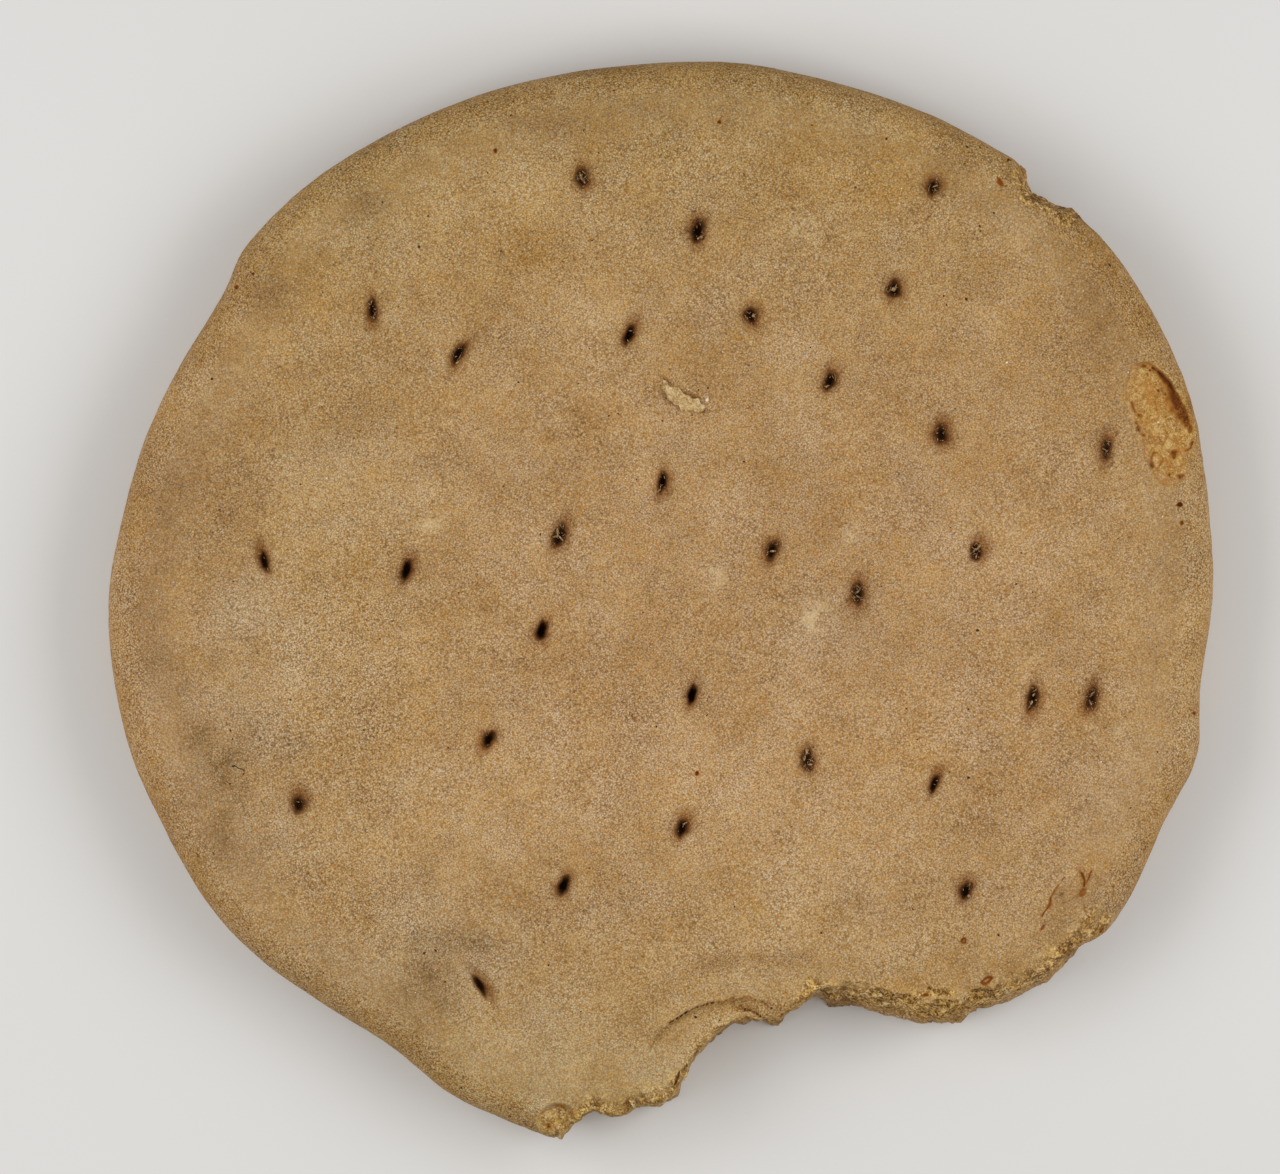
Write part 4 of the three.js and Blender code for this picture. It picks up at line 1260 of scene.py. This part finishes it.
def make_flake(crust_tree):
    """The scrap of dough: a rounded block drawn out along its line and pressed onto the crust."""
    bpy.ops.object.select_all(action="DESELECT")
    bpy.ops.mesh.primitive_cube_add(size=2)
    flake = bpy.context.object
    flake.name = "flake"
    bpy.ops.object.mode_set(mode="EDIT")
    bpy.ops.mesh.select_all(action="SELECT")
    bpy.ops.mesh.subdivide(number_cuts=23)
    bpy.ops.transform.tosphere(value=1)
    bpy.ops.object.mode_set(mode="OBJECT")
    ball = corners_of(flake.data)
    ball /= np.linalg.norm(ball, axis=1)[:, None]
    line = np.array(FLAKE_LINE)
    steps = np.linspace(0, 1, len(line))

    def along_line(shares):
        return np.column_stack([np.interp(shares, steps, line[:, axis]) for axis in (0, 1)])

    share = np.arcsin(np.clip(ball[:, 0], -1, 1)) / math.pi + 0.5
    middle = along_line(share)
    ahead = along_line(np.minimum(share + 0.05, 1))
    behind = along_line(np.maximum(share - 0.05, 0))
    along = (ahead - behind) / np.linalg.norm(ahead - behind, axis=1)[:, None]
    left = np.column_stack([-along[:, 1], along[:, 0]])
    girth = np.maximum(np.sqrt(np.maximum(1 - ball[:, 0] ** 2, 0)), 1e-3)
    across, up = ball[:, 1] / girth, ball[:, 2] / girth
    half_width = np.interp(share, steps, FLAKE_HALF_WIDTHS)
    flat = middle + left * (across * half_width)[:, None]
    seen = np.column_stack([flat, np.zeros(len(flat))])
    flat += left * (0.34 * waver(seen, 0.45, 2.0) * across + 0.16 * waver(seen, 0.8, 5.0))[:, None]
    ground = np.array([drop_onto(crust_tree, *spot)[0].z for spot in flat])
    thickness = FLAKE_HEIGHT * (0.8 + 0.9 * waver(seen, 0.6, 7.0) + 0.6 * waver(seen, 0.25, 4.0))
    rim_curl = 0.12 * np.abs(across) ** 3
    height = np.where(up > 0, thickness * np.minimum(1.0, 1.5 * up) + rim_curl * (up > 0.15), 0.2 * up)
    set_corners(flake.data, np.column_stack([flat, ground + height * np.minimum(1, 3 * girth)]))
    return flake


# Finishes

def tone(red, green, blue):
    """A colour as seen on a screen, 0 to 255, as the light it gives back."""
    values = []
    for shade in (red, green, blue):
        share = shade / 255
        values.append(share / 12.92 if share <= 0.04045 else ((share + 0.055) / 1.055) ** 2.4)
    return (*values, 1.0)


class Finish:
    """A material, and short ways to add its nodes."""

    def __init__(self, name):
        self.material = bpy.data.materials.new(name)
        self.material.use_nodes = True
        self.tree = self.material.node_tree
        self.skin = self.tree.nodes["Principled BSDF"]
        place = self.node("ShaderNodeTexCoord").outputs["Object"]
        scale = self.node("ShaderNodeMapping", {"Vector": place, "Scale": (1 / MM,) * 3})
        self.place = scale.outputs["Vector"]

    def put(self, socket, value):
        if isinstance(value, bpy.types.NodeSocket):
            self.tree.links.new(value, socket)
        else:
            socket.default_value = value

    def node(self, kind, inputs=None, **settings):
        made = self.tree.nodes.new(kind)
        for name, value in settings.items():
            setattr(made, name, value)
        for name, value in (inputs or {}).items():
            self.put(made.inputs[name], value)
        return made

    def math(self, operation, first, second=0.0, third=0.0, clamp=False):
        made = self.node("ShaderNodeMath", operation=operation, use_clamp=clamp)
        for socket, value in zip(made.inputs, (first, second, third)):
            self.put(socket, value)
        return made.outputs[0]

    def add_shares(self, level, *shares):
        """Adds to a level a share of each value, which is centred on a half."""
        for value, share in shares:
            level = self.math("MULTIPLY_ADD", self.math("SUBTRACT", value, 0.5), share, level)
        return level

    def clouds(self, length, detail=2.0, roughness=0.5):
        """An even noise, 0 to 1, whose largest features have this length in millimetres."""
        inputs = {"Vector": self.place, "Scale": 1 / length, "Detail": detail, "Roughness": roughness}
        return self.node("ShaderNodeTexNoise", inputs).outputs["Fac"]

    def grains(self, length):
        """Grains of this size: the parts of a colour drawn for each, and the distance from its middle."""
        made = self.node("ShaderNodeTexVoronoi", {"Vector": self.place, "Scale": 1 / length})
        split = self.node("ShaderNodeSeparateColor", {"Color": made.outputs["Color"]})
        return split.outputs, made.outputs["Distance"]

    def worked(self, name):
        """A value that was kept on the piece while it was worked."""
        return self.node("ShaderNodeAttribute", attribute_name=name).outputs["Fac"]

    def ramp(self, value, stops):
        made = self.node("ShaderNodeValToRGB", {"Fac": value})
        band = made.color_ramp.elements
        while len(band) < len(stops):
            band.new(0.5)
        for element, (position, colour) in zip(band, stops):
            element.position = position
            element.color = colour
        return made.outputs["Color"]

    def blend(self, share, under, over, kind="MIX"):
        made = self.node("ShaderNodeMix", data_type="RGBA", blend_type=kind, clamp_factor=True)
        for socket, value in zip((made.inputs[0], made.inputs[6], made.inputs[7]), (share, under, over)):
            self.put(socket, value)
        return made.outputs[2]

    def range(self, value, low, high, start=0.0, end=1.0):
        """Brings a value from one range to another, stopping at the ends."""
        inputs = {"Value": value, "From Min": low, "From Max": high, "To Min": start, "To Max": end}
        return self.node("ShaderNodeMapRange", inputs, clamp=True).outputs["Result"]

    def settle(self, colour, roughness, shine):
        """Gives the skin its colour, its roughness and its shine, and hands over the material."""
        for name, value in (("Base Color", colour), ("Roughness", roughness), ("Specular IOR Level", shine)):
            self.put(self.skin.inputs[name], value)
        return self.material

    def relief(self, height, depth, strength):
        inputs = {"Height": height, "Distance": depth * MM, "Strength": strength}
        return self.node("ShaderNodeBump", inputs).outputs["Normal"]


def tones(*stops):
    """Stops of a band of colour, each given as its position and its red, green and blue, 0 to 255."""
    return [(position, tone(red, green, blue)) for position, red, green, blue in stops]


# What scorch and dirt do to the crust's colour, and the casts between which the sound crust lies.
SCORCH_SHADE = (0.55, 0.385, 0.235, 1.0)
DIRT_SHADE = (0.52, 0.48, 0.40, 1.0)
PINK_CAST = (1.004, 0.9965, 1.007, 1.0)
STRAW_CAST = (0.962, 1.033, 0.931, 1.0)

# How strongly dough and floor shine.
DOUGH_SHINE = 0.2
FLOOR_SHINE = 0.1

# Lengths of the patterns in the crust, in millimetres: mottled baking, drifting warmth, crags, the pebbles of
# the crumb, the grain and the sand. Then the grain of loose dough, and the haze on the floor.
MOTTLE_LENGTH = 14.0
DRIFT_LENGTH = 5.0
CRAG_LENGTH = 1.2
PEBBLE_LENGTH = 0.45
GRAIN_LENGTH = 0.17
SAND_LENGTH = 0.08
LOOSE_GRAIN_LENGTH = 0.14
HAZE_LENGTH = 60.0

# Bands of colour, from dark to pale.
WARM_TONES = tones(
    (0, 53, 26, 5), (0.2, 103, 63, 20), (0.38, 151, 106, 46), (0.5, 178, 131, 66), (0.62, 203, 162, 99),
    (0.8, 230, 200, 148), (1, 241, 222, 184),
)
GREY_TONES = tones(
    (0, 49, 30, 16), (0.2, 93, 65, 40), (0.38, 141, 110, 76), (0.5, 165, 134, 97), (0.62, 191, 165, 134),
    (0.8, 220, 201, 178), (1, 237, 225, 206),
)
CRUMB_TONES = tones(
    (0, 80, 49, 18), (0.28, 134, 94, 42), (0.5, 167, 123, 61), (0.72, 198, 154, 84), (1, 228, 191, 126),
)
BLISTER_TONES = tones(
    (0, 118, 70, 18), (0.22, 156, 104, 38), (0.45, 182, 136, 62), (0.65, 202, 160, 86),
    (1, 228, 200, 138),
)
SCRAP_TONES = tones(
    (0, 66, 42, 22), (0.35, 126, 94, 58), (0.6, 170, 138, 96), (1, 214, 186, 144),
)
FLAKE_TONES = tones(
    (0, 130, 94, 50), (0.3, 178, 143, 88), (0.55, 206, 177, 124), (1, 236, 216, 176),
)
FLOUR_TONES = tones(
    (0, 214, 194, 160), (0.5, 238, 228, 206), (1, 252, 250, 246),
)
BRAN_TONES = tones(
    (0, 34, 20, 12), (0.5, 70, 44, 24), (1, 104, 66, 34),
)
FLOOR_TONES = tones((0, 222, 221, 218), (1, 228, 227, 225))

# Single colours: burnt places, and grains and flakes in the crust.
SCALD_TONE = tone(172, 114, 46)
BURNT_TONE = tone(98, 46, 4)
RUST_TONE = tone(148, 84, 8)
CHAR_TONE = tone(72, 42, 20)
AMBER_TONE = tone(190, 128, 60)
PALE_TONE = tone(226, 206, 168)
FLOURY_TONE = tone(226, 202, 156)
LIP_TONE = tone(206, 172, 112)


def crust_finish():
    """Dry baked crust: sandy grain, mottled baking, dirt, scorched holes, and crumb where it is broken."""
    finish = Finish("baked crust")
    mottle = finish.clouds(MOTTLE_LENGTH, 3.0, 0.85)
    drift = finish.clouds(DRIFT_LENGTH, 3.0, 0.7)
    crags = finish.clouds(CRAG_LENGTH, 2.0, 0.7)
    grain, grain_gap = finish.grains(GRAIN_LENGTH)
    sand, _ = finish.grains(SAND_LENGTH)
    rim = finish.worked("rim")

    speck = finish.math("MULTIPLY", finish.math("SUBTRACT", 0.5, grain_gap), 0.5)
    speck = finish.add_shares(speck, (sand["Red"], 0.3))
    sandiness = finish.math("MULTIPLY_ADD", rim, -0.2, finish.worked("sandy"))
    sandiness = finish.math("MULTIPLY", sandiness, finish.range(drift, 0.3, 0.7, 1.2, 0.8))
    level = finish.math("MULTIPLY_ADD", speck, sandiness, 0.506)
    level = finish.add_shares(level, (mottle, 0.3), (crags, 0.06))
    # The baked tone also carries painted shade: at the top and bottom edges, by the bite's crack and round
    # the scrap of dough.
    level = finish.math("ADD", level, finish.worked("bake_and_shade"))
    level = finish.math("MULTIPLY_ADD", rim, -0.006, level)
    warmth = finish.math("MULTIPLY_ADD", rim, -0.08, finish.math("ADD", 0.44, finish.worked("tint")))
    warmth = finish.add_shares(warmth, (grain["Green"], 0.65), (sand["Green"], 0.7), (drift, 0.95))
    colour = finish.blend(warmth, finish.ramp(level, GREY_TONES), finish.ramp(level, WARM_TONES))

    amber = finish.range(grain["Red"], 0.95, 0.98, 0, 0.45)
    colour = finish.blend(amber, colour, AMBER_TONE)
    pale = finish.range(grain["Blue"], 0.95, 0.98, 0, 0.28)
    colour = finish.blend(pale, colour, PALE_TONE)

    flake_break = finish.range(finish.add_shares(crags, (grain["Red"], 0.3)), 0.4, 0.56, 0, 0.6)
    flour = finish.math("MULTIPLY", finish.worked("floury"), flake_break)
    colour = finish.blend(flour, colour, FLOURY_TONE)

    dirt_break = finish.range(finish.add_shares(crags, (sand["Blue"], 0.35)), 0.36, 0.54)
    dirt = finish.math("MULTIPLY", finish.worked("dirt"), dirt_break, clamp=True)
    colour = finish.blend(dirt, colour, DIRT_SHADE, "MULTIPLY")

    burn_and_shade = finish.worked("burn_and_shade")
    pebble, pebble_gap = finish.grains(PEBBLE_LENGTH)
    crumb_level = finish.add_shares(
        finish.math("ADD", 0.5, finish.worked("bake_and_shade")),
        (pebble["Red"], 0.58), (grain["Blue"], 0.7), (sand["Blue"], 0.45), (crags, 0.8),
    )
    # Painted shade in the gaps between the pebbles of crumb.
    crumb_level = finish.math("SUBTRACT", crumb_level, finish.range(pebble_gap, 0.45, 0.75, 0, 0.07))
    crumb_level = finish.math("MULTIPLY_ADD", burn_and_shade, -0.2, crumb_level)
    greyness = finish.range(pebble["Green"], 0.5, 0.75, 0, 0.3)
    yellow = finish.ramp(crumb_level, CRUMB_TONES)
    crumb = finish.blend(greyness, yellow, finish.ramp(crumb_level, GREY_TONES))
    crumb_edge = finish.add_shares(finish.worked("crumb"), (crags, 0.8))
    lip = finish.math("MULTIPLY", finish.range(crumb_edge, 0.05, 0.3), finish.range(crumb_edge, 0.5, 0.32))
    colour = finish.blend(finish.math("MULTIPLY", lip, 0.3), colour, LIP_TONE)
    colour = finish.blend(finish.range(crumb_edge, 0.1, 0.9), colour, crumb)

    cast = finish.blend(finish.worked("straw"), PINK_CAST, STRAW_CAST)
    colour = finish.blend(1.0, colour, cast, "MULTIPLY")

    floor_level = finish.add_shares(
        0.47, (grain["Red"], 0.4), (sand["Red"], 0.55), (crags, 0.8), (pebble["Red"], 0.35),
    )
    floor = finish.blend(0.68, colour, finish.ramp(floor_level, BLISTER_TONES))
    scald_break = finish.range(finish.add_shares(crags, (sand["Green"], 0.5)), 0.2, 0.5, 0.55, 1.0)
    scald = finish.math("MULTIPLY", burn_and_shade, scald_break)
    floor = finish.blend(finish.range(scald, 0.0, 0.5), floor, SCALD_TONE)
    floor = finish.blend(finish.range(scald, 0.45, 1.0), floor, BURNT_TONE)
    colour = finish.blend(finish.worked("hollow"), colour, floor)

    colour = finish.blend(finish.worked("rust"), colour, RUST_TONE)
    scorch = finish.worked("scorch")
    colour = finish.blend(finish.range(scorch, 0.0, 0.5), colour, SCORCH_SHADE, "MULTIPLY")
    colour = finish.blend(finish.range(scorch, 0.5, 1.0, 0, 0.85), colour, CHAR_TONE)

    return finish.settle(colour, finish.range(mottle, 0.3, 0.7, 0.95, 0.8), DOUGH_SHINE)


def crumb_finish(name, stops, spread):
    """Loose dough: grains of a few tones, with a dull rough skin."""
    finish = Finish(name)
    grain, _ = finish.grains(LOOSE_GRAIN_LENGTH)
    level = finish.add_shares(0.5, (grain["Red"], 0.5), (finish.clouds(0.7, 3.0), spread))
    finish.put(finish.skin.inputs["Normal"], finish.relief(grain["Red"], 0.03, 0.5))
    roughness = finish.range(grain["Green"], 0, 1, 0.8, 0.95)
    return finish.settle(finish.ramp(level, stops), roughness, DOUGH_SHINE)


# Stage, light and camera

def make_stage():
    bpy.ops.object.select_all(action="DESELECT")
    bpy.ops.mesh.primitive_grid_add(x_subdivisions=8, y_subdivisions=8, size=FLOOR_SIZE)
    floor = bpy.context.object
    floor.name = "floor"
    finish = Finish("pale floor")
    haze = finish.clouds(HAZE_LENGTH, 1.0)
    colour = finish.ramp(haze, FLOOR_TONES)
    floor.data.materials.append(finish.settle(colour, 0.9, FLOOR_SHINE))


def side_light(name, side, power):
    """A soft box low at one side, aimed at the biscuit."""
    light = bpy.data.lights.new(name, "AREA")
    light.shape = "RECTANGLE"
    light.size, light.size_y = BOX_SIZE
    light.energy = power
    lamp = add_object(name, light)
    lift = math.radians(LIGHT_LIFT)
    lamp.location = (side * BOX_DISTANCE * math.cos(lift), 0.0, BOX_DISTANCE * math.sin(lift))
    lamp.rotation_euler = (-lamp.location).to_track_quat("-Z", "Y").to_euler()


def make_light():
    side_light("left soft box", -1, LIGHT_POWER)
    side_light("right soft box", 1, LIGHT_POWER)
    world = bpy.data.worlds.new("studio")
    bpy.context.scene.world = world
    world.use_nodes = True
    world.node_tree.nodes["Background"].inputs["Color"].default_value = (1.0, 1.0, 1.0, 1.0)
    world.node_tree.nodes["Background"].inputs["Strength"].default_value = ROUND_LIGHT
    bpy.context.scene.view_settings.view_transform = "Standard"


def make_camera():
    lens = bpy.data.cameras.new("camera")
    lens.sensor_width = SENSOR_WIDTH
    lens.lens = SENSOR_WIDTH * CAMERA_HEIGHT / VIEW_WIDTH
    camera = add_object("camera", lens)
    camera.location = Vector((*VIEW_MIDDLE, CAMERA_HEIGHT + WAIST_HEIGHT)) * MM
    bpy.context.scene.camera = camera


def make_biscuit():
    crust = make_crust()
    crust_tree = BVHTree.FromPolygons(
        [tuple(corner) for corner in corners_of(crust.data)],
        [tuple(face.vertices) for face in crust.data.polygons],
    )
    flake = make_flake(crust_tree)
    hole_crumbs = make_hole_crumbs(crust_tree)
    break_crumbs = make_break_crumbs(crust)
    bran = make_bran(crust_tree)
    flour = make_flour(crust_tree)
    hand_over(crust, crust_finish(), ["biscuit"])
    hand_over(flake, crumb_finish("pale dough", FLAKE_TONES, 1.1))
    hand_over(hole_crumbs, crumb_finish("dusty crumb", SCRAP_TONES, 0.8))
    hand_over(break_crumbs, crumb_finish("yellow crumb", CRUMB_TONES, 0.9))
    hand_over(bran, crumb_finish("dark bran", BRAN_TONES, 0.8))
    hand_over(flour, crumb_finish("dry flour", FLOUR_TONES, 0.6))


make_camera()
make_light()
make_stage()
make_biscuit()
